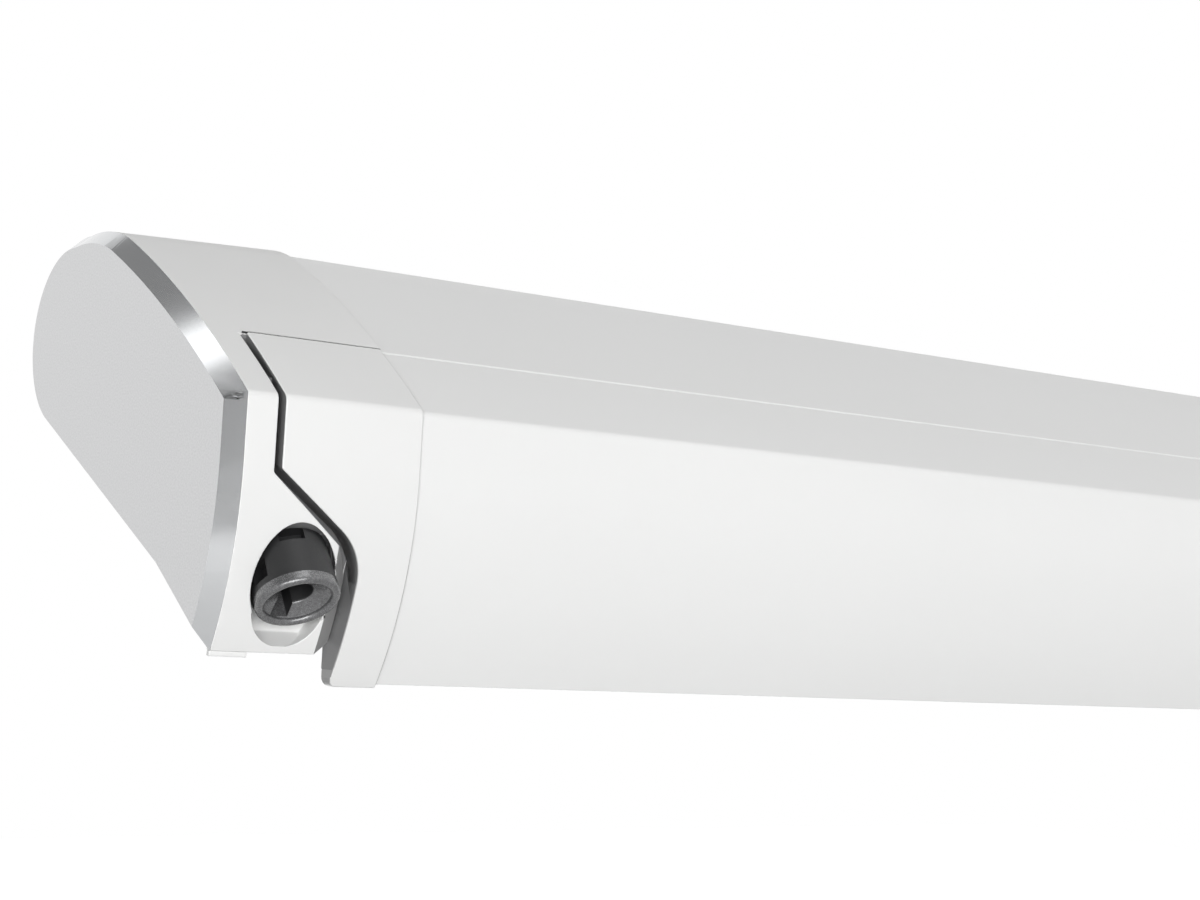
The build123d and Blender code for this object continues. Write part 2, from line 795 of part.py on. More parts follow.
# Lay shaft
# The worm wheel and the pinion that drives the roller, on one shaft.
thread_offset = worm_pitch / 4 - worm_length / 2
wheel_phase = 180 - crank_lean + math.degrees((worm_pitch / 2 - thread_offset) / wheel_pitch_radius)
with BuildPart() as lay_shaft:
    with BuildSketch(section(-bevel_x + frame_start)):
        with Locations((lay_back, lay_level)):
            Circle(lay_shaft_radius)
    extrude(amount=plate_start + bearing_plate_thick - frame_start)
write_piece(lay_shaft, "lay_shaft")
with BuildPart() as worm_wheel:
    with BuildSketch(section(-bevel_x + crank_inset - wheel_width / 2)):
        with Locations((lay_back, lay_level)):
            add(gear_outline(worm_module, wheel_teeth, wheel_phase))
            Circle(lay_shaft_radius + fit_clear, mode=Mode.SUBTRACT)
    extrude(amount=wheel_width)
write_piece(worm_wheel, "worm_wheel")
spur_course = math.degrees(math.atan2(roller_level - lay_level, roller_back - lay_back))
with BuildPart() as lay_pinion:
    with BuildSketch(section(-bevel_x + spur_start)):
        with Locations((lay_back, lay_level)):
            add(gear_outline(spur_module, lay_pinion_teeth, spur_course))
            Circle(lay_shaft_radius + fit_clear, mode=Mode.SUBTRACT)
    extrude(amount=spur_width)
write_piece(lay_pinion, "lay_pinion")

# Roller
plug_length = 25.0
tube_inset = 1.5
roll_inset = 6.0
with BuildPart() as roller_tube:
    with BuildSketch(section(-joint_x + tube_inset)):
        with Locations((roller_back, roller_level)):
            Circle(roller_radius)
            Circle(roller_radius - roller_wall, mode=Mode.SUBTRACT)
    extrude(amount=2 * (joint_x - tube_inset))
write_piece(roller_tube, "roller_tube")
with BuildPart() as canopy_roll:
    with BuildSketch(section(-joint_x + roll_inset)):
        with Locations((roller_back, roller_level)):
            Circle(roll_radius)
            Circle(roller_radius + run_clear, mode=Mode.SUBTRACT)
    extrude(amount=2 * (joint_x - roll_inset))
write_piece(canopy_roll, "canopy_roll")


def roller_plug(with_gear):
    """End plug of the roller on the left side, with its shaft in the bearing."""
    with BuildPart() as plug:
        with BuildSketch(section(-bevel_x + cap_width + tube_inset)):
            with Locations((roller_back, roller_level)):
                Circle(roller_radius - roller_wall - fit_clear)
        extrude(amount=plug_length)
        shaft_from = spur_start + spur_width if with_gear else plate_start
        with BuildSketch(section(-bevel_x + shaft_from)):
            with Locations((roller_back, roller_level)):
                Circle(roller_shaft_radius)
        extrude(amount=cap_width + tube_inset - shaft_from)
        if with_gear:
            mesh = spur_course + 180 + 180 / roller_gear_teeth
            with BuildSketch(section(-bevel_x + spur_start)):
                with Locations((roller_back, roller_level)):
                    add(gear_outline(spur_module, roller_gear_teeth, mesh))
            extrude(amount=spur_width)
            with BuildSketch(section(-bevel_x + frame_start)):
                with Locations((roller_back, roller_level)):
                    Circle(roller_shaft_radius)
            extrude(amount=spur_start - frame_start)
    return plug


left_plug = roller_plug(True)
write_piece(left_plug, "left_roller_plug")
plain_plug = roller_plug(False)
with BuildPart() as right_plug:
    mirror(plain_plug.part, about=Plane.YZ)
write_piece(right_plug, "right_roller_plug")

# Lead rail caps
# Each hangs over the end cap's pocket and is held by a spigot in the rail's front chamber.
rail_cap_side = 13.4
rail_cap_side_drop = 23.5
rail_cap_low_side = 45.0
rail_cap_low_drop = 48.0
rail_cap_foot_round = 5.0
rail_cap_depth = 11.0
rail_cap_low_depth = 26.0
rail_cap_gap = 0.4
spigot_length = 14.0
spigot_clear = 0.15


def rail_cap_block(inset, depth):
    """Body of a rail cap, inset from its outer faces and cut off at a depth behind the crease."""
    with BuildSketch() as inner_full:
        offset(rail_full.sketch, amount=-inset)
    with BuildSketch() as profile:
        add(inner_full.sketch)
        with Locations((0, -body_depth)):
            Rectangle(depth, 2 * body_depth, align=(Align.MIN, Align.MIN), mode=Mode.INTERSECT)
    with BuildSketch() as upper_profile:
        add(inner_full.sketch)
        add(upper_pocket(inset, pocket_top + rail_cap_gap), mode=Mode.INTERSECT)
    low_top = pocket_low_level - rail_cap_gap - inset
    with BuildPart() as lower_block:
        with BuildSketch(elevation(-cut_over)):
            with Locations((rail_cap_low_side + inset, low_top)):
                Rectangle(cap_width - rail_cap_low_side - 2 * inset, body_depth, align=(Align.MIN, Align.MAX))
        deep = rail_cap_low_depth if inset == 0 else rail_cap_low_depth + cut_over
        extrude(amount=deep + cut_over, dir=rail_course)
        with BuildSketch(section(-bevel_x)):
            add(inner_full.sketch)
        extrude(amount=cap_width, mode=Mode.INTERSECT)
    with BuildPart() as block:
        with BuildSketch(section(-bevel_x)):
            add(profile.sketch)
        extrude(amount=cap_width)
        with BuildSketch(section(-bevel_x)):
            add(upper_profile.sketch)
        extrude(amount=cap_width)
        with BuildSketch(elevation(-cut_over)):
            with BuildLine():
                FilletPolyline(
                    (rail_cap_side + inset, body_top),
                    (rail_cap_side + inset, -rail_cap_side_drop + inset / 2),
                    (rail_cap_low_side + inset, -rail_cap_low_drop + inset / 2),
                    (rail_cap_low_side + inset, -2 * rail_drop),
                    (cap_width - inset, -2 * rail_drop),
                    radius=(pocket_round, pocket_low_round, rail_cap_foot_round),
                )
                Polyline(
                    (cap_width - inset, -2 * rail_drop),
                    (cap_width - inset, body_top),
                    (rail_cap_side + inset, body_top),
                )
            make_face()
        extrude(amount=cut_over + body_depth, dir=rail_course, mode=Mode.INTERSECT)
        add(lower_block.part)
    return block.part


with BuildPart() as left_rail_cap:
    add(rail_cap_block(0, rail_cap_depth))
    add(rail_cap_block(wall, rail_cap_depth + cut_over), mode=Mode.SUBTRACT)
    with BuildSketch(section(-joint_x)):
        offset(rail_solid.sketch, amount=-(wall + spigot_clear))
        spigot_low = rail_leg_roof + wall + spigot_clear
        spigot_high = groove_level - groove_radius - groove_wall - spigot_clear
        with Locations((rail_back_wall - wall - spigot_clear, spigot_low)):
            Rectangle(
                body_depth,
                spigot_high - spigot_low,
                align=(Align.MAX, Align.MIN),
                mode=Mode.INTERSECT,
            )
    extrude(amount=spigot_length)
    with BuildSketch(section(-joint_x)):
        with Locations((rail_cap_depth, 0)):
            Rectangle(body_depth, 2 * body_depth, align=(Align.MIN, Align.CENTER))
    extrude(amount=run_clear, mode=Mode.SUBTRACT)
write_pair(left_rail_cap, "rail_cap")

# Arms
# Two folding arms lie behind the lead rail, in a plane pitched down to the front.
# In that plane local x runs along the awning and local y back towards the vehicle.
pivot_step = (upper_back - fore_back) / 2
arm_height = 26.0
upper_width = 22.0
fore_width = 19.0
tube_wall = 2.0
pin_radius = 5.0
knuckle_radius = 11.0
elbow_fork_radius = 13.0
wrist_radius = 9.0
fork_thick = 5.0
bracket_thick = 4.0
tube_stand_off = 15.0
tongue_length = 30.0
pin_head = 1.5
pin_over = 1.0
bracket_length = 56.0
bracket_back = 13.5
bracket_web = 4.0
elbow_x = shoulder_x - pivot_spacing
arm_origin = (0, crease_y + elbow_back, crease_z + arm_level)


def arm_plane(height):
    """Plane of the arms, at a height above their middle."""
    base = Plane(origin=arm_origin, x_dir=(1, 0, 0), z_dir=(0, -math.sin(pitch), math.cos(pitch)))
    return base.offset(height)


def arm_slab(sketch, low, high):
    """Extrude a sketch of the arm plane between two heights in the current part."""
    with BuildSketch(arm_plane(low)) as slab:
        add(sketch)
    extrude(slab.sketch, amount=high - low)


def bar(start, end, back, width):
    """Rectangle of the arm plane along x, at a distance back from the elbow's axis."""
    with BuildSketch() as shape:
        with Locations(((start + end) / 2, back)):
            Rectangle(abs(end - start), width)
    return shape.sketch


def disc(x, back, radius):
    """Circle of the arm plane."""
    with BuildSketch() as shape:
        with Locations((x, back)):
            Circle(radius)
    return shape.sketch


def joint_pin(x, back, low, high, heads):
    """Pin on an axis of the arm plane, with a low head above and, with two heads, below."""
    with BuildPart() as pin:
        arm_slab(disc(x, back, pin_radius), low, high)
        arm_slab(disc(x, back, pin_radius + pin_over), high, high + pin_head)
        if heads == 2:
            arm_slab(disc(x, back, pin_radius + pin_over), low - pin_head, low)
    return pin


half_height = arm_height / 2
fork_inner = half_height + run_clear
fork_outer = fork_inner + bracket_thick
shoulder_end = -shoulder_x + tube_stand_off
elbow_end = -elbow_x - tube_stand_off
tongue_half = half_height - fork_thick - run_clear

# Shoulder brackets
with BuildSketch() as bracket_section:
    add(housing_inside.sketch)
    front_limit = elbow_back + 2 * run_clear
    upper_limit = fork_outer + 2 * bracket_web
    with BuildLine():
        Polyline(
            (front_limit + (rail_drop + arm_level) * math.tan(pitch), -rail_drop),
            (upper_back + bracket_back + 2 * bracket_web, -rail_drop),
            (upper_back + bracket_back + bracket_web, arm_level + upper_limit),
            (front_limit - upper_limit * math.tan(pitch), arm_level + upper_limit),
            close=True,
        )
    make_face(mode=Mode.INTERSECT)
    with Locations(*channel_spots):
        Circle(channel_radius + run_clear, mode=Mode.SUBTRACT)
with BuildPart() as shoulder_bracket:
    with BuildSketch(section(-shoulder_x - bracket_length / 2)):
        add(bracket_section.sketch)
    extrude(amount=bracket_length)
    rear_limit = pivot_step + bracket_back
    slot_ends = (-shoulder_x - bracket_length, -shoulder_x + bracket_length)
    slot = bar(*slot_ends, rear_limit - body_depth / 2, body_depth)
    with BuildSketch(arm_plane(-fork_inner)):
        add(slot)
    extrude(amount=2 * fork_inner, mode=Mode.SUBTRACT)
    with BuildSketch(arm_plane(fork_outer)):
        add(bar(-shoulder_x - bracket_length, -shoulder_x + bracket_length, 0, 2 * body_depth))
    extrude(amount=body_depth, mode=Mode.SUBTRACT)
    with BuildSketch(arm_plane(-body_depth)):
        add(disc(-shoulder_x, pivot_step, pin_radius + fit_clear))
    extrude(amount=2 * body_depth, mode=Mode.SUBTRACT)
write_pair(shoulder_bracket, "shoulder_bracket")
write_pair(joint_pin(-shoulder_x, pivot_step, -fork_outer - bracket_thick, fork_outer, 1), "shoulder_pin")

# Upper arms
with BuildPart() as upper_knuckle:
    arm_slab(disc(-shoulder_x, pivot_step, knuckle_radius), -half_height, half_height)
    arm_slab(bar(-shoulder_x, shoulder_end, pivot_step, 2 * knuckle_radius), -half_height, half_height)
    inner_side = upper_width - 2 * tube_wall - 2 * fit_clear
    arm_slab(
        bar(shoulder_end, shoulder_end + tongue_length, pivot_step, inner_side),
        -half_height + tube_wall + fit_clear,
        half_height - tube_wall - fit_clear,
    )
    with BuildSketch(arm_plane(-half_height)):
        add(disc(-shoulder_x, pivot_step, pin_radius + fit_clear))
    extrude(amount=arm_height, mode=Mode.SUBTRACT)
write_pair(upper_knuckle, "upper_arm_knuckle")

upper_end = elbow_end - tongue_length
with BuildPart() as upper_tube:
    arm_slab(bar(shoulder_end, upper_end, pivot_step, upper_width), -half_height, half_height)
    with BuildSketch(arm_plane(-half_height + tube_wall)):
        add(bar(shoulder_end, upper_end, pivot_step, upper_width - 2 * tube_wall))
    extrude(amount=arm_height - 2 * tube_wall, mode=Mode.SUBTRACT)
write_pair(upper_tube, "upper_arm_tube")

with BuildPart() as elbow_fork:
    with BuildSketch() as fork_shape:
        add(disc(-elbow_x, 0, elbow_fork_radius))
        with BuildLine():
            Polyline(
                (-elbow_x, elbow_fork_radius),
                (-elbow_x, 0),
                (elbow_end, run_clear),
                (upper_end, pivot_step - upper_width / 2),
                (upper_end, pivot_step + upper_width / 2),
                (elbow_end, pivot_step + upper_width / 2),
                close=True,
            )
        make_face()
    for low in (-half_height, half_height - fork_thick):
        arm_slab(fork_shape.sketch, low, low + fork_thick)
    arm_slab(bar(upper_end, elbow_end, pivot_step, upper_width), -half_height, half_height)
    arm_slab(
        bar(upper_end - tongue_length, upper_end, pivot_step, inner_side),
        -half_height + tube_wall + fit_clear,
        half_height - tube_wall - fit_clear,
    )
    with BuildSketch(arm_plane(-half_height)):
        add(disc(-elbow_x, 0, pin_radius + fit_clear))
    extrude(amount=arm_height, mode=Mode.SUBTRACT)
write_pair(elbow_fork, "elbow_fork")
write_pair(joint_pin(-elbow_x, 0, -half_height, half_height, 2), "elbow_pin")

# Forearms
fore_centre = -pivot_step
fore_elbow_end = elbow_end - run_clear
fore_wrist_end = -shoulder_x + tube_stand_off
fore_inner = fore_width - 2 * tube_wall - 2 * fit_clear
fore_half = half_height - 2 * run_clear
with BuildPart() as fore_knuckle:
    with BuildSketch() as tongue_shape:
        add(disc(-elbow_x, 0, knuckle_radius))
        with BuildLine():
            Polyline(
                (-elbow_x, -knuckle_radius),
                (-elbow_x, 0),
                (fore_elbow_end, -run_clear),
                (fore_elbow_end, fore_centre - fore_width / 2),
                close=True,
            )
        make_face()
    arm_slab(tongue_shape.sketch, -tongue_half, tongue_half)
    arm_slab(
        bar(fore_elbow_end - tongue_length, fore_elbow_end, fore_centre, fore_inner),
        -fore_half + tube_wall + fit_clear,
        fore_half - tube_wall - fit_clear,
    )
    with BuildSketch(arm_plane(-half_height)):
        add(disc(-elbow_x, 0, pin_radius + fit_clear))
    extrude(amount=arm_height, mode=Mode.SUBTRACT)
write_pair(fore_knuckle, "forearm_knuckle")

with BuildPart() as fore_tube:
    arm_slab(bar(fore_wrist_end, fore_elbow_end, fore_centre, fore_width), -fore_half, fore_half)
    with BuildSketch(arm_plane(-fore_half + tube_wall)):
        add(bar(fore_wrist_end, fore_elbow_end, fore_centre, fore_width - 2 * tube_wall))
    extrude(amount=2 * (fore_half - tube_wall), mode=Mode.SUBTRACT)
write_pair(fore_tube, "forearm_tube")

with BuildPart() as wrist_knuckle:
    arm_slab(disc(-shoulder_x, fore_centre, wrist_radius), -fore_half, fore_half)
    arm_slab(bar(-shoulder_x, fore_wrist_end, fore_centre, 2 * wrist_radius), -fore_half, fore_half)
    arm_slab(
        bar(fore_wrist_end, fore_wrist_end + tongue_length, fore_centre, fore_inner),
        -fore_half + tube_wall + fit_clear,
        fore_half - tube_wall - fit_clear,
    )
    with BuildSketch(arm_plane(-half_height)):
        add(disc(-shoulder_x, fore_centre, pin_radius + run_clear))
    extrude(amount=arm_height, mode=Mode.SUBTRACT)
write_pair(wrist_knuckle, "wrist_knuckle")

# Wrist brackets
# A fork on the back of the lead rail; its pins leave the wrists a little play.
wrist_plate_radius = 9.5
wrist_fork_thick = 3.0
with BuildPart() as wrist_bracket:
    wrist_front = rail_back_wall - elbow_back - arm_height
    with BuildSketch() as wrist_shape:
        add(disc(-shoulder_x, fore_centre, wrist_plate_radius))
        with Locations((-shoulder_x, (wrist_front + fore_centre) / 2)):
            Rectangle(2 * wrist_plate_radius, fore_centre - wrist_front)
    wrist_inner = fore_half + run_clear
    for low in (-wrist_inner - wrist_fork_thick, wrist_inner):
        arm_slab(wrist_shape.sketch, low, low + wrist_fork_thick)
    base_back = fore_centre - wrist_radius - run_clear
    with BuildSketch() as base_shape:
        with Locations((-shoulder_x, (wrist_front + base_back) / 2)):
            Rectangle(2 * wrist_plate_radius, base_back - wrist_front)
    arm_slab(base_shape.sketch, -wrist_inner, wrist_inner)
    with BuildSketch(section(-shoulder_x - 2 * wrist_plate_radius)):
        with Locations((rail_back_wall, 0)):
            Rectangle(body_depth, 2 * body_depth, align=(Align.MAX, Align.CENTER))
    extrude(amount=4 * wrist_plate_radius, mode=Mode.SUBTRACT)
    with BuildSketch(arm_plane(-arm_height)):
        add(disc(-shoulder_x, fore_centre, pin_radius + fit_clear))
    extrude(amount=2 * arm_height, mode=Mode.SUBTRACT)
write_pair(wrist_bracket, "wrist_bracket")
wrist_outer = wrist_inner + wrist_fork_thick
write_pair(joint_pin(-shoulder_x, fore_centre, -wrist_outer, wrist_outer, 2), "wrist_pin")

# Legs
# Each leg lies in the rail's channel and swings down about a pin near the rail's end.
leg_wall = 1.4
leg_half = leg_side / 2
leg_stand_off = 16.0
leg_free_end = 112.0
leg_collar_length = 34.0
leg_inner_side = leg_side - 2 * leg_wall - 2 * run_clear
leg_inner_wall = 1.5
leg_inner_start = 1140.0
leg_inner_end = 77.5
leg_foot_pivot = 84.0
foot_wall = 1.8
foot_length = 46.0
foot_gap = 0.4
foot_drop = 10.6
foot_pin_radius = 2.5
lever_length = 34.0
lever_thick = 2.0
lever_width = 12.0
lever_pivot = 136.0
lever_drop = 3.2


def leg_section(x):
    """Plane across the folded leg, centred on it."""
    origin = (x, crease_y + leg_centre_back, crease_z + leg_centre_level)
    return Plane(origin=origin, x_dir=(0, 1, 0), z_dir=(1, 0, 0))


def leg_bar(start, end, side, hollow):
    """Square bar or tube along the folded leg on the left, hollow if it has a wall."""
    with BuildSketch(leg_section(-start)) as shape:
        Rectangle(side, side)
        if hollow:
            Rectangle(side - 2 * hollow, side - 2 * hollow, mode=Mode.SUBTRACT)
    return extrude(shape.sketch, amount=start - end)


def leg_cross(x, level, radius, back_from, back_to):
    """Round bar across the folded leg, along Y."""
    with BuildSketch(rear_plane(back_to)) as shape:
        with Locations((-x, level)):
            Circle(radius)
    return extrude(shape.sketch, amount=back_to - back_from)


leg_front = leg_centre_back - leg_half
leg_back = leg_centre_back + leg_half
with BuildPart() as leg_pin:
    pin_front = rail_rib_back - wall - rail_pin_over
    leg_cross(leg_pivot_x, leg_centre_level, leg_pin_radius, pin_front, rail_leg_wall)
write_pair(leg_pin, "leg_pin")

with BuildPart() as leg_knuckle:
    leg_cross(leg_pivot_x, leg_centre_level, leg_half, leg_front, leg_back)
    leg_bar(leg_pivot_x, leg_pivot_x - leg_stand_off, leg_side, 0)
    leg_bar(leg_pivot_x - leg_stand_off, leg_inner_start + 2 * run_clear, leg_inner_side, 0)
    pin_hole = leg_cross(leg_pivot_x, leg_centre_level, leg_pin_radius + fit_clear, leg_front, leg_back)
    add(pin_hole, mode=Mode.SUBTRACT)
write_pair(leg_knuckle, "leg_knuckle")

leg_tube_start = leg_pivot_x - leg_stand_off
with BuildPart() as leg_tube:
    leg_bar(leg_tube_start, leg_free_end + leg_collar_length, leg_side, leg_wall)
write_pair(leg_tube, "leg_tube")

collar_start = leg_free_end + leg_collar_length
with BuildPart() as leg_collar:
    leg_bar(collar_start, leg_free_end, leg_side, 0)
    with BuildSketch(leg_section(-collar_start)) as collar_bore:
        Rectangle(leg_inner_side + 2 * run_clear, leg_inner_side + 2 * run_clear)
    extrude(collar_bore.sketch, amount=leg_collar_length, mode=Mode.SUBTRACT)
    ear_level = leg_centre_level - leg_half
    ear_reach = lever_width / 2 + run_clear
    for ear_back in (leg_centre_back - ear_reach, leg_centre_back + ear_reach + foot_wall):
        ear_radius = lever_drop / 2 + run_clear
        leg_cross(lever_pivot, ear_level - lever_drop / 2, ear_radius, ear_back - foot_wall, ear_back)
write_pair(leg_collar, "leg_collar")

with BuildPart() as leg_inner_tube:
    leg_bar(leg_inner_start, leg_inner_end, leg_inner_side, leg_inner_wall)
    foot_bore = leg_cross(leg_foot_pivot, leg_centre_level, foot_pin_radius + fit_clear, leg_front, leg_back)
    add(foot_bore, mode=Mode.SUBTRACT)
write_pair(leg_inner_tube, "leg_inner_tube")

# Leg levers
# A flat clamp lever under each collar.
with BuildPart() as leg_lever:
    lever_level = leg_centre_level - leg_half - lever_drop / 2
    lever_front = leg_centre_back - lever_width / 2
    lever_rear = leg_centre_back + lever_width / 2
    leg_cross(lever_pivot, lever_level, lever_drop / 2 - fit_clear, lever_front, lever_rear)
    with BuildSketch(rear_plane(lever_rear)) as lever_shape:
        with Locations((-lever_pivot, lever_level)):
            Rectangle(lever_length, lever_thick, align=(Align.MAX, Align.CENTER))
    extrude(lever_shape.sketch, amount=lever_width)
write_pair(leg_lever, "leg_lever")

# Feet
# A shoe on a cross pin, folded along the leg.
foot_inner = leg_inner_side / 2 + foot_gap
with BuildPart() as leg_foot:
    for cheek_rear in (leg_centre_back - foot_inner, leg_centre_back + foot_inner + foot_wall):
        leg_cross(leg_foot_pivot, leg_centre_level, foot_inner, cheek_rear - foot_wall, cheek_rear)
        with BuildSketch(rear_plane(cheek_rear)) as cheek:
            with Locations((-leg_foot_pivot, leg_centre_level)):
                Rectangle(2 * foot_inner, foot_drop, align=(Align.CENTER, Align.MAX))
        extrude(cheek.sketch, amount=foot_wall)
    with BuildSketch(rear_plane(leg_centre_back + foot_inner + foot_wall)) as sole:
        with Locations((-leg_foot_pivot, leg_centre_level - foot_drop)):
            Rectangle(foot_length, foot_wall, align=(Align.CENTER, Align.MAX))
    extrude(sole.sketch, amount=2 * (foot_inner + foot_wall))
    leg_cross(
        leg_foot_pivot,
        leg_centre_level,
        foot_pin_radius,
        leg_centre_back - foot_inner - foot_wall / 2,
        leg_centre_back + foot_inner + foot_wall / 2,
    )
write_pair(leg_foot, "leg_foot")
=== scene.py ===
import json
import math
import bpy
import bmesh
from mathutils import Matrix, Vector
from mathutils.bvhtree import BVHTree

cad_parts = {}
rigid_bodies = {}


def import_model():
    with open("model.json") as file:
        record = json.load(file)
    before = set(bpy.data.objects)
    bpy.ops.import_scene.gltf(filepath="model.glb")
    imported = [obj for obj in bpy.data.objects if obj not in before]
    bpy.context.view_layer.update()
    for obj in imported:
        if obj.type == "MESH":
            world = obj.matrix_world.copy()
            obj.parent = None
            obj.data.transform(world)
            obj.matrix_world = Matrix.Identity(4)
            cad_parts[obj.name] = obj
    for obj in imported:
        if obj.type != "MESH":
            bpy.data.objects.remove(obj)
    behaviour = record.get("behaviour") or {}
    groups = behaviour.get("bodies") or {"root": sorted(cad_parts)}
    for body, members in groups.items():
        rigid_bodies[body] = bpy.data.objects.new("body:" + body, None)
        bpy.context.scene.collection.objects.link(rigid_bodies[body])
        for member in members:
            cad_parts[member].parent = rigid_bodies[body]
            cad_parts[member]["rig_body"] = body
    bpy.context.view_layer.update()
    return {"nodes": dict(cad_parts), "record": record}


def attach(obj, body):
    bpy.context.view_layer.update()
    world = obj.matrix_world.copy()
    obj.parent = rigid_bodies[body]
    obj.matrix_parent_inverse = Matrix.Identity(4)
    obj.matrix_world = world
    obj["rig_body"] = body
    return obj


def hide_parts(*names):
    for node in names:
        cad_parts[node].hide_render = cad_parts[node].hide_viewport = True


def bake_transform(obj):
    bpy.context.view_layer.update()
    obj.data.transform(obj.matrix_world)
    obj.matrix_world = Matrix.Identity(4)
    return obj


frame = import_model()
nodes = frame["nodes"]
# the part is measured in millimetres, and the scene is in metres
mm = 0.001
scene = bpy.context.scene

# finishes: one entry per material, grain sizes in bumps per metre and depths in metres
finishes = {
    "whiteCoat": {"base": (0.875, 0.878, 0.872), "metal": 0.0, "rough": 0.34, "spread": 0.05, "grain": 700.0,
                  "depth": 0.000018, "mottle": 5.0, "shade": 0.975, "stretch": (1, 1, 1), "coat": 0.25},
    # the cap moulding's gap keys paint shade where the cap turns in to the gap beside the rail cap
    "capMoulding": {"base": (0.885, 0.887, 0.88), "metal": 0.0, "rough": 0.4, "spread": 0.07, "grain": 2600.0,
                    "depth": 0.00002, "mottle": 14.0, "shade": 0.98, "stretch": (1, 1, 1), "coat": 0.0,
                    "gapShadeTone": 0.36, "gapFacing": (0.1, 0.85), "gapReach": (1.2575, 1.2595),
                    "gapLevel": (-0.036, -0.02)},
    "silverPlate": {"base": (0.685, 0.688, 0.694), "metal": 1.0, "rough": 0.33, "spread": 0.08, "grain": 3800.0,
                    "depth": 0.000012, "mottle": 1500.0, "shade": 0.9, "stretch": (1, 1, 1), "coat": 0.0},
    "armAluminium": {"base": (0.70, 0.71, 0.73), "metal": 1.0, "rough": 0.3, "spread": 0.1, "grain": 900.0,
                     "depth": 0.000008, "mottle": 30.0, "shade": 0.93, "stretch": (0.02, 1, 1), "coat": 0.0},
    "castAluminium": {"base": (0.52, 0.53, 0.55), "metal": 1.0, "rough": 0.46, "spread": 0.12, "grain": 650.0,
                      "depth": 0.00006, "mottle": 60.0, "shade": 0.86, "stretch": (1, 1, 1), "coat": 0.0},
    "brightSteel": {"base": (0.60, 0.61, 0.63), "metal": 1.0, "rough": 0.22, "spread": 0.08, "grain": 1800.0,
                    "depth": 0.000005, "mottle": 90.0, "shade": 0.9, "stretch": (1, 1, 1), "coat": 0.0},
    "oiledSteel": {"base": (0.30, 0.305, 0.31), "metal": 1.0, "rough": 0.36, "spread": 0.12, "grain": 500.0,
                   "depth": 0.00001, "mottle": 25.0, "shade": 0.75, "stretch": (1, 1, 1), "coat": 0.3},
    "galvanised": {"base": (0.55, 0.56, 0.58), "metal": 1.0, "rough": 0.42, "spread": 0.14, "grain": 400.0,
                   "depth": 0.00001, "mottle": 120.0, "shade": 0.8, "stretch": (1, 1, 1), "coat": 0.0},
    "sealRubber": {"base": (0.028, 0.028, 0.03), "metal": 0.0, "rough": 0.62, "spread": 0.1, "grain": 1500.0,
                   "depth": 0.00003, "mottle": 40.0, "shade": 0.8, "stretch": (0.1, 1, 1), "coat": 0.0},
    "darkMoulding": {"base": (0.017, 0.0173, 0.0182), "metal": 0.0, "rough": 0.5, "spread": 0.1, "grain": 2200.0,
                     "depth": 0.00003, "mottle": 50.0, "shade": 0.85, "stretch": (1, 1, 1), "coat": 0.0},
    # painted shade: a darker copy of the cap moulding, for faces in the joints and inside the crank's well
    "capInside": {"base": (0.24, 0.24, 0.243), "metal": 0.0, "rough": 0.5, "spread": 0.1, "grain": 2200.0,
                  "depth": 0.00003, "mottle": 40.0, "shade": 0.85, "stretch": (1, 1, 1), "coat": 0.0},
    # painted highlight: a lighter, glossier copy of the dark moulding for the crank eye's rim and cone
    "wornMoulding": {"base": (0.19, 0.191, 0.195), "metal": 0.45, "rough": 0.26, "spread": 0.12, "grain": 2600.0,
                     "depth": 0.00005, "mottle": 900.0, "shade": 0.7, "stretch": (1, 1, 1), "coat": 0.3},
    "polishedSlope": {"base": (0.66, 0.67, 0.68), "metal": 1.0, "rough": 0.12, "spread": 0.03, "grain": 5000.0,
                      "depth": 0.000001, "mottle": 300.0, "shade": 0.995, "stretch": (1, 1, 1), "coat": 0.0},
}
# what every finish shares: the two noises, how far they reach into colour and gloss, and the coat's roughness
allFinishes = {"mottleNoise": {"Detail": 2.0, "Roughness": 0.5}, "mottleReach": (0.35, 0.65),
               "grainNoise": {"Detail": 3.0, "Roughness": 0.6}, "grainReach": (0.3, 0.7), "coatRough": 0.2}
slotFinish = {
    "white_coat": "whiteCoat", "cap_plastic": "capMoulding", "silver_plate": "silverPlate",
    "arm_metal": "armAluminium", "cast_joint": "castAluminium", "pin_steel": "brightSteel",
    "gear_steel": "oiledSteel", "tube_steel": "galvanised", "seal_rubber": "sealRubber",
    "eye_plastic": "darkMoulding", "foot_plastic": "darkMoulding",
}


def addNode(tree, kind, where, **values):
    node = tree.nodes.new(kind)
    node.location = where
    for name, value in values.items():
        if hasattr(node, name):
            setattr(node, name, value)
        else:
            node.inputs[name.replace("_", " ")].default_value = value
    return node


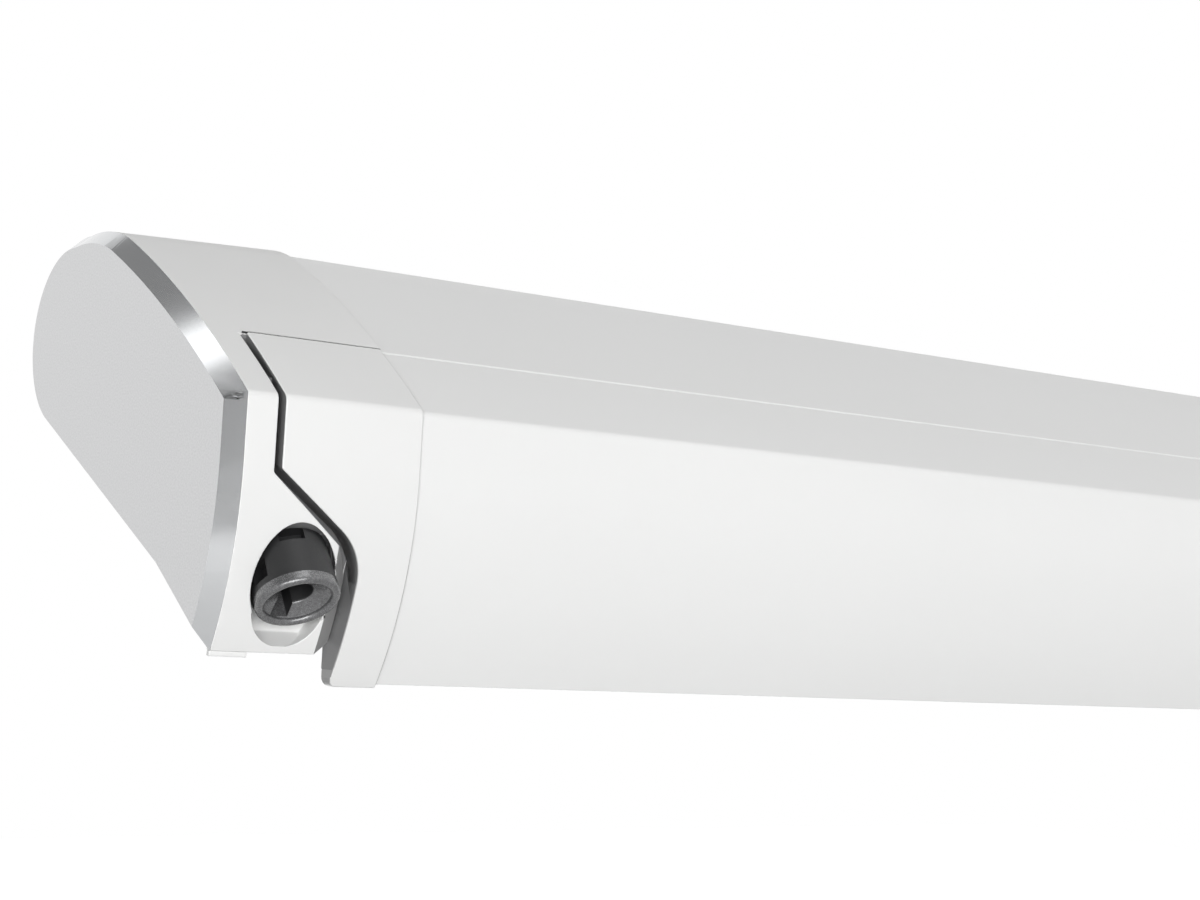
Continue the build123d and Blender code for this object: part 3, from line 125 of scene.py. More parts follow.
def makeCloth(name, look):
    # woven acrylic: crossing threads with a little hair and slubs, from the cloth's own lengths
    material = bpy.data.materials.new(name)
    material.use_nodes = True
    tree = material.node_tree
    link = tree.links.new
    shader = tree.nodes["Principled BSDF"]
    shader.inputs["Roughness"].default_value = look["rough"]
    shader.inputs["Sheen Weight"].default_value = look["sheen"]
    coords = addNode(tree, "ShaderNodeTexCoord", (-1500, 0))
    heights = []
    for row, axis in enumerate(("X", "Y")):
        threads = addNode(tree, "ShaderNodeTexWave", (-1100, 200 - 300 * row), bands_direction=axis,
                          Scale=look["threads"], Distortion=look["wobble"], Detail=look["threadDetail"])
        link(coords.outputs["UV"], threads.inputs["Vector"])
        heights.append(threads.outputs["Fac"])
    weave = addNode(tree, "ShaderNodeMath", (-850, 100), operation="MAXIMUM")
    link(heights[0], weave.inputs[0])
    link(heights[1], weave.inputs[1])
    slub = addNode(tree, "ShaderNodeTexNoise", (-1100, -450), Scale=look["slub"], **look["slubNoise"])
    link(coords.outputs["UV"], slub.inputs["Vector"])
    tint = addNode(tree, "ShaderNodeMix", (-400, 250), data_type="RGBA")
    tint.inputs[6].default_value = (*look["base"], 1.0)
    tint.inputs[7].default_value = (*look["dark"], 1.0)
    amount = addNode(tree, "ShaderNodeMath", (-620, 250), operation="MULTIPLY")
    link(weave.outputs[0], amount.inputs[0])
    link(slub.outputs["Fac"], amount.inputs[1])
    link(amount.outputs[0], tint.inputs[0])
    link(tint.outputs[2], shader.inputs["Base Color"])
    bump = addNode(tree, "ShaderNodeBump", (-400, -250), Strength=look["bump"], Distance=look["depth"])
    link(weave.outputs[0], bump.inputs["Height"])
    link(bump.outputs["Normal"], shader.inputs["Normal"])
    return material


canopyCloth = {"base": (0.33, 0.34, 0.35), "dark": (0.2, 0.205, 0.212), "rough": 0.82, "sheen": 0.15,
               "threads": 260.0, "wobble": 0.4, "threadDetail": 1.0, "depth": 0.00012, "bump": 0.6,
               "slub": 90.0, "slubNoise": {"Detail": 3.0, "Roughness": 0.6}}


def smoothRange(tree, source, low, high, atLow, atHigh, where):
    span = addNode(tree, "ShaderNodeMapRange", where, interpolation_type="SMOOTHSTEP")
    for socket, value in (("From Min", low), ("From Max", high), ("To Min", atLow), ("To Max", atHigh)):
        span.inputs[socket].default_value = value
    tree.links.new(source, span.inputs["Value"])
    return span.outputs["Result"]


def mathNode(tree, operation, first, second, where):
    node = addNode(tree, "ShaderNodeMath", where, operation=operation)
    for index, part in enumerate((first, second)):
        if isinstance(part, (int, float)):
            node.inputs[index].default_value = part
        elif part is not None:
            tree.links.new(part, node.inputs[index])
    return node.outputs[0]


def gapShade(tree, colour, look):
    # painted shade: the moulding's colour darkens where it turns in to the gap beside the rail cap
    shape = addNode(tree, "ShaderNodeNewGeometry", (-1500, 700))
    facing = addNode(tree, "ShaderNodeSeparateXYZ", (-1300, 800))
    spot = addNode(tree, "ShaderNodeSeparateXYZ", (-1300, 600))
    tree.links.new(shape.outputs["Normal"], facing.inputs["Vector"])
    tree.links.new(shape.outputs["Position"], spot.inputs["Vector"])
    turn = smoothRange(tree, mathNode(tree, "ABSOLUTE", facing.outputs["X"], None, (-1100, 900)),
                       *look["gapFacing"], 0.0, 1.0, (-900, 900))
    reach = smoothRange(tree, mathNode(tree, "ABSOLUTE", spot.outputs["X"], None, (-1100, 700)),
                        *look["gapReach"], 1.0, 0.0, (-900, 700))
    level = smoothRange(tree, spot.outputs["Z"], *look["gapLevel"], 1.0, 0.0, (-900, 500))
    share = mathNode(tree, "MULTIPLY", mathNode(tree, "MULTIPLY", turn, reach, (-700, 800)), level, (-550, 700))
    shaded = addNode(tree, "ShaderNodeMix", (-200, 500), data_type="RGBA")
    shaded.inputs[7].default_value = (look["gapShadeTone"], look["gapShadeTone"], look["gapShadeTone"], 1.0)
    tree.links.new(share, shaded.inputs[0])
    tree.links.new(colour, shaded.inputs[6])
    return shaded.outputs[2]


def makeFinish(name, look):
    material = bpy.data.materials.new(name)
    material.use_nodes = True
    tree = material.node_tree
    link = tree.links.new
    shader = tree.nodes["Principled BSDF"]
    shader.inputs["Metallic"].default_value = look["metal"]
    shader.inputs["Coat Weight"].default_value = look["coat"]
    shader.inputs["Coat Roughness"].default_value = allFinishes["coatRough"]
    coords = addNode(tree, "ShaderNodeTexCoord", (-1300, 0))
    stretch = addNode(tree, "ShaderNodeMapping", (-1100, 0))
    stretch.inputs["Scale"].default_value = look["stretch"]
    link(coords.outputs["Object"], stretch.inputs["Vector"])
    grain = addNode(tree, "ShaderNodeTexNoise", (-850, -200), Scale=look["grain"], **allFinishes["grainNoise"])
    mottle = addNode(tree, "ShaderNodeTexNoise", (-850, 200), Scale=look["mottle"],
                     **allFinishes["mottleNoise"])
    for texture in (grain, mottle):
        link(stretch.outputs["Vector"], texture.inputs["Vector"])
    blend = addNode(tree, "ShaderNodeMix", (-400, 250), data_type="RGBA")
    blend.inputs[6].default_value = (*look["base"], 1.0)
    blend.inputs[7].default_value = (*[part * look["shade"] for part in look["base"]], 1.0)
    contrast = addNode(tree, "ShaderNodeMapRange", (-620, 250))
    for socket, value in zip(("From Min", "From Max"), allFinishes["mottleReach"]):
        contrast.inputs[socket].default_value = value
    link(mottle.outputs["Fac"], contrast.inputs["Value"])
    link(contrast.outputs["Result"], blend.inputs[0])
    colour = blend.outputs[2]
    # painted shade beside the rail cap
    if "gapShadeTone" in look:
        colour = gapShade(tree, colour, look)
    link(colour, shader.inputs["Base Color"])
    gloss = addNode(tree, "ShaderNodeMapRange", (-400, 0))
    for socket, value in zip(("From Min", "From Max"), allFinishes["grainReach"]):
        gloss.inputs[socket].default_value = value
    gloss.inputs["To Min"].default_value = look["rough"] - look["spread"] / 2
    gloss.inputs["To Max"].default_value = look["rough"] + look["spread"] / 2
    link(grain.outputs["Fac"], gloss.inputs["Value"])
    link(gloss.outputs["Result"], shader.inputs["Roughness"])
    bump = addNode(tree, "ShaderNodeBump", (-400, -250), Strength=1.0, Distance=look["depth"])
    link(grain.outputs["Fac"], bump.inputs["Height"])
    link(bump.outputs["Normal"], shader.inputs["Normal"])
    return material


made = {name: makeFinish(name, look) for name, look in finishes.items()}
made["canopyCloth"] = makeCloth("canopyCloth", canopyCloth)
print("finishes ready:", len(made))


def dress(piece, finish, body=None, stands=()):
    piece.data.materials.clear()
    piece.data.materials.append(made[finish])
    if body:
        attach(piece, body)
    if stands:
        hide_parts(*stands)
    return piece


# how the copies of the solids are prepared: lengths in metres, angles in degrees
softening = {"mergeNear": 0.000002, "flatWithin": 0.6, "softFrom": 20, "softSegments": 5, "softProfile": 0.5,
             "edgeSegments": 2}


def edgeIsOn(edge, rule):
    # a rule is a list of (axis, value, reach): every end of the edge lies that near on those axes
    return all(abs(vert.co["xyz".index(axis)] / mm - value) < reach
               for vert in edge.verts for axis, value, reach in rule)


def isSharp(edge, angle):
    return len(edge.link_faces) == 2 and edge.calc_face_angle() > math.radians(angle)


def soften(nodeName, pieceName, look):
    # a copy of the solid's shape with rounded edges, in place of the sharp one
    source = nodes[nodeName]
    mesh = source.data.copy()
    piece = bpy.data.objects.new(pieceName, mesh)
    scene.collection.objects.link(piece)
    work = bmesh.new()
    work.from_mesh(mesh)
    bmesh.ops.remove_doubles(work, verts=work.verts, dist=softening["mergeNear"])
    bmesh.ops.dissolve_limit(work, angle_limit=math.radians(softening["flatWithin"]),
                             verts=work.verts, edges=work.edges)
    for level in look.get("splitAt", ()):
        bmesh.ops.bisect_plane(work, geom=work.verts[:] + work.edges[:] + work.faces[:],
                               plane_co=(0, 0, level * mm), plane_no=(0, 0, 1))
    for rule, width in look.get("soft", ()):
        chosen = [edge for edge in work.edges if edgeIsOn(edge, rule) and isSharp(edge, softening["softFrom"])]
        bmesh.ops.bevel(work, geom=chosen, offset=width * mm, segments=softening["softSegments"],
                        profile=softening["softProfile"], affect="EDGES",
                        clamp_overlap=rule not in look.get("free", ()))
    share = work.edges.layers.float.new("bevel_weight_edge")
    for edge in work.edges:
        edge[share] = 1.0 if isSharp(edge, look["angle"]) else 0.0
    work.to_mesh(mesh)
    work.free()
    for polygon in mesh.polygons:
        polygon.use_smooth = True
    if look["width"]:
        rounding = piece.modifiers.new("rounding", "BEVEL")
        rounding.width = look["width"] * mm
        rounding.segments = softening["edgeSegments"]
        rounding.limit_method = "WEIGHT"
        rounding.use_clamp_overlap = False
        rounding.miter_outer = "MITER_ARC"
        shading = piece.modifiers.new("shading", "WEIGHTED_NORMAL")
        shading.keep_sharp = True
    else:
        mesh.set_sharp_from_angle(angle=math.radians(look["angle"]))
    return dress(piece, look["finish"], source["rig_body"], (nodeName,))


# every CAD node takes its finish from its slot
for row in frame["record"]["subparts"]:
    node = nodes[row["node"]]
    node.data.materials.clear()
    node.data.materials.append(made[slotFinish.get(row["material_slot"], "sealRubber")])

# shells and caps: the solids' own shapes with eased edges, widths in millimetres
# soft holds edges with a rounding of their own, found by where they run
softCrease = ((("y", -131.6, 1.2), ("z", 12.0, 0.9)), 1.6)
capSeam = ((("y", -100.6, 0.5), ("z", 34.6, 1.2), ("x", -1257.0, 28.0)), 1.4)
rightCapSeam = ((("y", -100.6, 0.5), ("z", 34.6, 1.2), ("x", 1257.0, 28.0)), 1.4)
capRim = ((("x", -1231.4, 0.3), ("y", -40.0, 62.0), ("z", 57.0, 22.5)), 1.0)
rightCapRim = ((("x", 1231.4, 0.3), ("y", -40.0, 62.0), ("z", 57.0, 22.5)), 1.0)
railTop = ((("y", -100.6, 0.3), ("z", 34.6, 0.4)), 0.35)
scoopEdge = ((("x", -1258.1, 1.2), ("z", -48.5, 20.5)), 2.2)
footCorner = ((("x", -1249.3, 1.0), ("z", -78.3, 1.8)), 3.4)
rightFootCorner = ((("x", 1249.3, 1.0), ("z", -78.3, 1.8)), 3.4)
easedEdges = {
    "left_end_cap": {"piece": "leftEndCap", "finish": "capMoulding", "width": 0.4, "angle": 30,
                     "soft": (softCrease, capSeam, capRim, scoopEdge), "free": (capSeam[0],)},
    "right_end_cap": {"piece": "rightEndCap", "finish": "capMoulding", "width": 0.4, "angle": 30,
                      "soft": (softCrease, rightCapSeam, rightCapRim), "free": (rightCapSeam[0],)},
    "left_rail_cap": {"piece": "leftRailCap", "finish": "capMoulding", "width": 0.45, "angle": 30,
                      "soft": (softCrease, footCorner, railTop), "splitAt": (-73.0,)},
    "right_rail_cap": {"piece": "rightRailCap", "finish": "capMoulding", "width": 0.45, "angle": 30,
                       "soft": (softCrease, rightFootCorner, railTop), "splitAt": (-73.0,)},
    "left_end_plate": {"piece": "leftEndPlate", "finish": "silverPlate", "width": 0.0, "angle": 20},
    "right_end_plate": {"piece": "rightEndPlate", "finish": "silverPlate", "width": 0.0, "angle": 20},
    "housing": {"piece": "housingShell", "finish": "whiteCoat", "width": 0.25, "angle": 40,
                "soft": (((("y", -99.9, 0.3), ("z", 33.6, 0.3)), 0.6),)},
    "lead_rail": {"piece": "leadRail", "finish": "whiteCoat", "width": 0.25, "angle": 40,
                  "soft": (softCrease,)},
}
bvhTrees = {}


def bvhOf(nodeName):
    if nodeName not in bvhTrees:
        mesh = nodes[nodeName].data
        bvhTrees[nodeName] = BVHTree.FromPolygons([vert.co for vert in mesh.vertices],
                                                  [polygon.vertices[:] for polygon in mesh.polygons])
    return bvhTrees[nodeName]


# painted shade: faces that look at another part close by take a darker copy of the moulding, for the shade in the
# joints
paintedShadeFaces = {
    "lift": 0.0009, "reach": 0.04, "finish": "capInside", "lightBelow": -73.0,
    "looksAt": ("left_end_cap", "left_rail_cap", "lead_rail", "housing", "gear_frame",
                "right_end_cap", "right_rail_cap", "roller_bearing"),
    # the crank's opening: painted shade above the funnel's mouth, white below it; and the scoop beside it, white
    # too
    "openingX": (-1285.5, -1257.5), "openingBack": (-131.4, -106.0), "openingLevel": (-67.8, -26.0),
    "openingFacing": -0.75, "mouthLevel": -50.0,
    "scoopX": (-1258.4, -1231.0), "scoopLevel": -29.0, "scoopFacing": -0.3,
}


def isBetween(value, limits):
    return limits[0] < value / mm < limits[1]


def paintedShadeIndex(pieceName, polygon):
    spot, facing = polygon.center, polygon.normal
    inOpening = isBetween(spot.x, paintedShadeFaces["openingX"]) and isBetween(spot.y, paintedShadeFaces["openingBack"]) \
        and isBetween(spot.z, paintedShadeFaces["openingLevel"])
    if pieceName == "leftEndCap" and facing.y > paintedShadeFaces["openingFacing"] and inOpening:
        return 1 if spot.z / mm > paintedShadeFaces["mouthLevel"] else 0
    if "EndCap" in pieceName and isBetween(-abs(spot.x), paintedShadeFaces["scoopX"]) \
            and facing.y < paintedShadeFaces["scoopFacing"] and spot.z / mm < paintedShadeFaces["scoopLevel"]:
        return 0
    if "RailCap" in pieceName and spot.z / mm < paintedShadeFaces["lightBelow"]:
        return 0
    start = spot + facing * paintedShadeFaces["lift"]
    hit = any(bvhOf(name).ray_cast(start, facing, paintedShadeFaces["reach"])[0] for name in paintedShadeFaces["looksAt"])
    return 1 if hit else 0


for nodeName, edge in easedEdges.items():
    piece = soften(nodeName, edge["piece"], edge)
    if "cap" in nodeName:
        # painted shade: the caps' faces in the joints get the darker copy of the moulding
        piece.data.materials.append(made[paintedShadeFaces["finish"]])
        for polygon in piece.data.polygons:
            polygon.material_index = paintedShadeIndex(edge["piece"], polygon)
        piece.modifiers["rounding"].material = 0
        # edges that lie wholly inside the joints keep their sharp shape
        outerEdges = {key for polygon in piece.data.polygons if polygon.material_index == 0
                      for key in polygon.edge_keys}
        share = piece.data.attributes["bevel_weight_edge"]
        for line in piece.data.edges:
            if line.key not in outerEdges:
                share.data[line.index].value = 0.0

# the end plates have a polished slope around their satin face, with one clean line at the crease
plateCorner = {"foot": (-132.0, 12.0, 1294.3), "top": (-127.0, 9.5, 1300.0), "run": 4.08 / 3.01,
               "back": -122.5, "level": (8.9, 12.6), "snap": 0.75,
               "mergeNear": 0.00003, "thinnest": 0.00002, "crispAngle": 20, "slopeBelow": 0.97,
               "ends": (0.001, 0.999)}


def cleanCorner(mesh):
    work = bmesh.new()
    work.from_mesh(mesh)
    foot, top = (Vector(plateCorner[name]) for name in ("foot", "top"))
    for vert in work.verts:
        share = (abs(vert.co.x) / mm - foot.z) / (top.z - foot.z)
        y, z = vert.co.y / mm, vert.co.z / mm
        onCrease = plateCorner["ends"][0] < share < plateCorner["ends"][1] \
            and isBetween(vert.co.z, plateCorner["level"])
        if not onCrease or y > plateCorner["back"]:
            continue
        line = foot.lerp(top, share)
        if abs(z - line.y) < plateCorner["snap"]:
            y, z = line.x, line.y
        else:
            y = line.x + max(0.0, z - line.y) * plateCorner["run"]
        vert.co.y, vert.co.z = y * mm, z * mm
    bmesh.ops.remove_doubles(work, verts=work.verts, dist=plateCorner["mergeNear"])
    bmesh.ops.dissolve_degenerate(work, edges=work.edges, dist=plateCorner["thinnest"])
    work.to_mesh(mesh)
    work.free()
    mesh.set_sharp_from_angle(angle=math.radians(plateCorner["crispAngle"]))


for pieceName in ("leftEndPlate", "rightEndPlate"):
    plate = bpy.data.objects[pieceName]
    cleanCorner(plate.data)
    plate.data.materials.append(made["polishedSlope"])
    for polygon in plate.data.polygons:
        if abs(polygon.normal.x) < plateCorner["slopeBelow"]:
            polygon.material_index = 1

# painted shadow: a thin dark rod in the seam over each rail cap, in the seal rubber's finish, stands for the shade
# in the gap
seamShadowRod = {"radius": 0.34, "back": -100.74, "level": 34.2, "from": 1231.6, "to": 1282.6, "steps": 10}
for side, sideName in ((-1, "left"), (1, "right")):
    work = bmesh.new()
    bmesh.ops.create_cone(work, cap_ends=True, segments=seamShadowRod["steps"], radius1=seamShadowRod["radius"] * mm,
                          radius2=seamShadowRod["radius"] * mm, depth=(seamShadowRod["to"] - seamShadowRod["from"]) * mm)
    mesh = bpy.data.meshes.new(sideName + "SeamGasket")
    work.to_mesh(mesh)
    work.free()
    middle = side * (seamShadowRod["from"] + seamShadowRod["to"]) / 2
    mesh.transform(Matrix.Translation(Vector((middle, seamShadowRod["back"], seamShadowRod["level"])) * mm)
                   @ Matrix.Rotation(math.radians(90), 4, "Y"))
    shadowRod = bpy.data.objects.new(sideName + "SeamGasket", mesh)
    scene.collection.objects.link(shadowRod)
    dress(shadowRod, "sealRubber", "cassette")
print("shells and caps ready")


# crank eye: a turned funnel, millimetres out from the crank's axis and up along it
crankEye = {
    "mouthAt": (-1271.5, -130.0, -52.0), "lean": 34.0, "steps": 128,
    "smoothBelow": 35, "edgeWidth": 0.12, "edgeSegments": 2, "edgeFrom": 50,
    "highlightFrom": 5.3, "highlightTo": 3.7, "rimRadius": 12.15, "rimRound": 1.45, "rimAlong": 1.0,
    "rimArc": (-195, 16, 15),
    "outer": ((13.42, 3.4), (13.2, 8.0), (13.0, 13.0), (12.85, 18.6), (12.5, 19.8), (11.6, 20.4), (9.4, 20.6),
              (9.2, 26.6), (8.6, 27.6), (4.45, 28.0), (0.0, 28.0)),
    "inner": ((10.3, 1.85), (5.9, 3.35), (5.55, 3.75), (5.4, 4.4), (5.4, 18.0), (0.0, 18.0)),
    # cutters: from and to, across, along the slot and along the axis, and the turn in degrees
    "slot": ((-5.0, 1.3), (0.0, 10.4), (1.2, 15.0), 0.0),
    "highWindow": ((-4.1, 4.1), (7.8, 15.0), (15.6, 20.0), 161.5),
    "lowWindow": ((-3.2, 3.2), (8.2, 15.0), (5.6, 12.6), 102.0),
}
lean = math.radians(crankEye["lean"])
crankAxes = Matrix(((1, 0, 0), (0, math.cos(lean), math.sin(lean)), (0, -math.sin(lean), math.cos(lean)))).to_4x4()
crankPlace = Matrix.Translation(Vector(crankEye["mouthAt"]) * mm) @ crankAxes


def turned(name, profile, steps, matrix, closed=False):
    # a profile of (radius, along) swept round the local Z axis
    work = bmesh.new()
    rings = []
    for radius, along in profile:
        if radius < 0.001:
            rings.append([work.verts.new((0, 0, along * mm))])
        else:
            rings.append([work.verts.new((radius * mm * math.cos(2 * math.pi * step / steps),
                                          radius * mm * math.sin(2 * math.pi * step / steps), along * mm))
                          for step in range(steps)])
    pairs = list(zip(rings, rings[1:] + ([rings[0]] if closed else [])))
    for first, second in (pairs if closed else pairs[:len(rings) - 1]):
        for step in range(steps):
            after = (step + 1) % steps
            if len(first) == 1:
                work.faces.new((first[0], second[after], second[step]))
            elif len(second) == 1:
                work.faces.new((first[step], first[after], second[0]))
            else:
                work.faces.new((first[step], first[after], second[after], second[step]))
    bmesh.ops.recalc_face_normals(work, faces=work.faces)
    mesh = bpy.data.meshes.new(name)
    work.to_mesh(mesh)
    work.free()
    mesh.transform(matrix)
    piece = bpy.data.objects.new(name, mesh)
    scene.collection.objects.link(piece)
    return piece


def block(name, across, out, along, turn, matrix):
    # a cutter block between pairs of distances, turned about the local Z axis
    work = bmesh.new()
    bmesh.ops.create_cube(work, size=1.0)
    for vert in work.verts:
        vert.co = Vector([(low if part < 0 else high) * mm
                          for part, (low, high) in zip(vert.co, (across, out, along))])
    mesh = bpy.data.meshes.new(name)
    work.to_mesh(mesh)
    work.free()
    mesh.transform(matrix @ Matrix.Rotation(math.radians(turn), 4, "Z"))
    piece = bpy.data.objects.new(name, mesh)
    scene.collection.objects.link(piece)
    return piece


def cutAway(piece, cutters):
    for cutter in cutters:
        cut = piece.modifiers.new(cutter.name, "BOOLEAN")
        cut.operation = "DIFFERENCE"
        cut.solver = "EXACT"
        cut.object = cutter
    bpy.context.view_layer.update()
    cutMesh = bpy.data.meshes.new_from_object(piece.evaluated_get(bpy.context.evaluated_depsgraph_get()))
    piece.modifiers.clear()
    piece.data = cutMesh
    for cutter in cutters:
        bpy.data.objects.remove(cutter)


rimArc = [(crankEye["rimRadius"] + crankEye["rimRound"] * math.cos(math.radians(turn)),
           crankEye["rimAlong"] + crankEye["rimRound"] * math.sin(math.radians(turn)))
          for turn in range(*crankEye["rimArc"])]
eyeProfile = list(reversed(crankEye["inner"])) + rimArc + list(crankEye["outer"])
funnel = turned("crankFunnel", eyeProfile, crankEye["steps"], crankPlace)
cutAway(funnel, [block("funnelSlot", *crankEye["slot"], crankPlace)]
        + [block("window%d%d" % (index, half), *crankEye[window][:3], crankEye[window][3] + 180 * half, crankPlace)
           for index, window in enumerate(("highWindow", "lowWindow")) for half in (0, 1)])
for polygon in funnel.data.polygons:
    polygon.use_smooth = True
funnel.data.set_sharp_from_angle(angle=math.radians(crankEye["smoothBelow"]))
funnelEdges = funnel.modifiers.new("rounding", "BEVEL")
funnelEdges.width = crankEye["edgeWidth"] * mm
funnelEdges.segments = crankEye["edgeSegments"]
funnelEdges.limit_method = "ANGLE"
funnelEdges.angle_limit = math.radians(crankEye["edgeFrom"])
dress(funnel, "darkMoulding", nodes["crank_eye"]["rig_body"], ("crank_eye",))
funnel.data.materials.append(made["wornMoulding"])
# painted highlight: the rim and the cone inside it take a lighter, glossier copy of the moulding, for the light
# they catch
toEye = crankPlace.inverted()
for polygon in funnel.data.polygons:
    spot = toEye @ polygon.center / mm
    along, out = spot.z, math.hypot(spot.x, spot.y)
    polygon.material_index = 1 if along < crankEye["highlightTo"] and out > crankEye["highlightFrom"] else 0

# painted shade: a dark sleeve lines the upper part of the crank's well, trimmed a little behind the front face
wellSleeve = {"outer": 14.38, "inner": 14.1, "from": 3.6, "to": 20.95, "hole": 9.9, "lid": 0.25, "steps": 96,
              "trimAt": (0.0, -128.7, -16.0), "trimFacing": (0.0, -45.0, -10.0)}
sleeveTop = wellSleeve["to"] - wellSleeve["lid"]
sleeve = turned("wellSleeve", ((wellSleeve["outer"], wellSleeve["from"]), (wellSleeve["outer"], wellSleeve["to"]),
                               (wellSleeve["hole"], wellSleeve["to"]), (wellSleeve["hole"], sleeveTop),
                               (wellSleeve["inner"], sleeveTop), (wellSleeve["inner"], wellSleeve["from"])),
                wellSleeve["steps"], crankPlace, closed=True)
trim = bmesh.new()
trim.from_mesh(sleeve.data)
cutEdges = bmesh.ops.bisect_plane(trim, geom=trim.verts[:] + trim.edges[:] + trim.faces[:],
                                  plane_co=Vector(wellSleeve["trimAt"]) * mm,
                                  plane_no=Vector(wellSleeve["trimFacing"]).normalized(), clear_outer=True)
bmesh.ops.holes_fill(trim, edges=[part for part in cutEdges["geom_cut"] if isinstance(part, bmesh.types.BMEdge)])
trim.to_mesh(sleeve.data)
trim.free()
dress(sleeve, "capInside", "cassette")
print("crank eye ready")


# canopy cloth: wound on the roller, with a short stretch to the lead rail
canopy = {
    "halfWidth": 1211.0, "rollBack": -22.0, "rollLevel": 33.0, "tubeRadius": 22.3, "rollRadius": 30.1,
    "turns": 13.5, "turnSteps": 56,
    "grooveBack": -104.7, "grooveLevel": 24.2, "grooveReach": 3.0,
    "webSteps": 96, "webColumns": 24,
    "pipingRadius": 2.85, "pipingSteps": 24, "pipingHalf": 1228.5,
}


def ribbon(name, line, stations, closed=False):
    # a line of (back, level) points stretched along the awning at the given stations
    work = bmesh.new()
    rows = [[work.verts.new((x * mm, point[0] * mm, point[1] * mm)) for point in line] for x in stations]
    uv = work.loops.layers.uv.new("cloth")
    runs = [0.0]
    for first, second in zip(line, line[1:] + line[:1]):
        runs.append(runs[-1] + math.dist(first, second) * mm)
    count = len(line) if closed else len(line) - 1
    for left, right in zip(range(len(stations)), range(1, len(stations))):
        for index in range(count):
            after = (index + 1) % len(line)
            face = work.faces.new((rows[left][index], rows[right][index],
                                   rows[right][after], rows[left][after]))
            corners = ((left, index), (right, index), (right, index + 1), (left, index + 1))
            for loop, (station, along) in zip(face.loops, corners):
                loop[uv].uv = (stations[station] * mm, runs[along])
            face.smooth = True
    mesh = bpy.data.meshes.new(name)
    work.to_mesh(mesh)
    work.free()
    piece = bpy.data.objects.new(name, mesh)
    scene.collection.objects.link(piece)
    return piece, runs[count]


def closeEnds(piece):
    # fills the two open ends of a closed ribbon
    ends = bmesh.new()
    ends.from_mesh(piece.data)
    bmesh.ops.holes_fill(ends, edges=[edge for edge in ends.edges if edge.is_boundary])
    bmesh.ops.recalc_face_normals(ends, faces=ends.faces)
    ends.to_mesh(piece.data)
    ends.free()


axisAt = (canopy["rollBack"], canopy["rollLevel"])
toGroove = (canopy["grooveBack"] - axisAt[0], canopy["grooveLevel"] - axisAt[1])
leaving = math.atan2(toGroove[1], toGroove[0]) - math.acos(canopy["rollRadius"] / math.hypot(*toGroove))
stepCount = round(canopy["turns"] * canopy["turnSteps"])
spiral = []
for step in range(stepCount + 1):
    share = step / stepCount
    radius = canopy["tubeRadius"] + (canopy["rollRadius"] - canopy["tubeRadius"]) * share
    turn = leaving + 2 * math.pi * canopy["turns"] * (1 - share)
    spiral.append((axisAt[0] + radius * math.cos(turn), axisAt[1] + radius * math.sin(turn)))
clothRoll, rollRun = ribbon("clothRoll", spiral, (-canopy["halfWidth"], 0.0, canopy["halfWidth"]))
dress(clothRoll, "canopyCloth", nodes["canopy_roll"]["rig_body"], ("canopy_roll",))

tangentPoint = spiral[-1]
reach = math.dist(tangentPoint, (canopy["grooveBack"], canopy["grooveLevel"]))
endShare = 1 - canopy["grooveReach"] / reach
webLine = [tuple(first + (second - first) * endShare * step / canopy["webSteps"]
                 for first, second in zip(tangentPoint, (canopy["grooveBack"], canopy["grooveLevel"])))
           for step in range(canopy["webSteps"] + 1)]
columns = [canopy["halfWidth"] * (2 * step / canopy["webColumns"] - 1) for step in range(canopy["webColumns"] + 1)]
clothWeb, webRun = ribbon("clothWeb", webLine, columns)
dress(clothWeb, "canopyCloth", None, ("canopy_web",))
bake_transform(clothWeb)

# piping: a cord sewn into the cloth's front hem, held in the lead rail's groove
ring = [(canopy["grooveBack"] + canopy["pipingRadius"] * math.cos(2 * math.pi * step / canopy["pipingSteps"]),
         canopy["grooveLevel"] + canopy["pipingRadius"] * math.sin(2 * math.pi * step / canopy["pipingSteps"]))
        for step in range(canopy["pipingSteps"])]
piping, _ = ribbon("clothPiping", ring, (-canopy["pipingHalf"], 0.0, canopy["pipingHalf"]), closed=True)
closeEnds(piping)
dress(piping, "canopyCloth", nodes["canopy_piping"]["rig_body"], ("canopy_piping",))

# rubber seal behind the seam: a foot and a lip that closes on the lead rail's edge
lidSeal = {"half": 1231.2,
           "outline": ((-97.6, 30.7), (-99.6, 31.1), (-100.35, 31.7), (-100.3, 32.25), (-99.7, 32.1),
                       (-97.9, 31.6), (-96.7, 32.4), (-94.4, 35.2), (-93.2, 34.6), (-93.3, 32.6), (-95.0, 30.8))}
seal, _ = ribbon("lidSeal", list(lidSeal["outline"]), (-lidSeal["half"], 0.0, lidSeal["half"]), closed=True)
closeEnds(seal)
for polygon in seal.data.polygons:
    polygon.use_smooth = False
dress(seal, "sealRubber", "cassette", ("lid_seal",))
print("canopy and seal ready, cloth length in metres:", round(rollRun + webRun, 3))


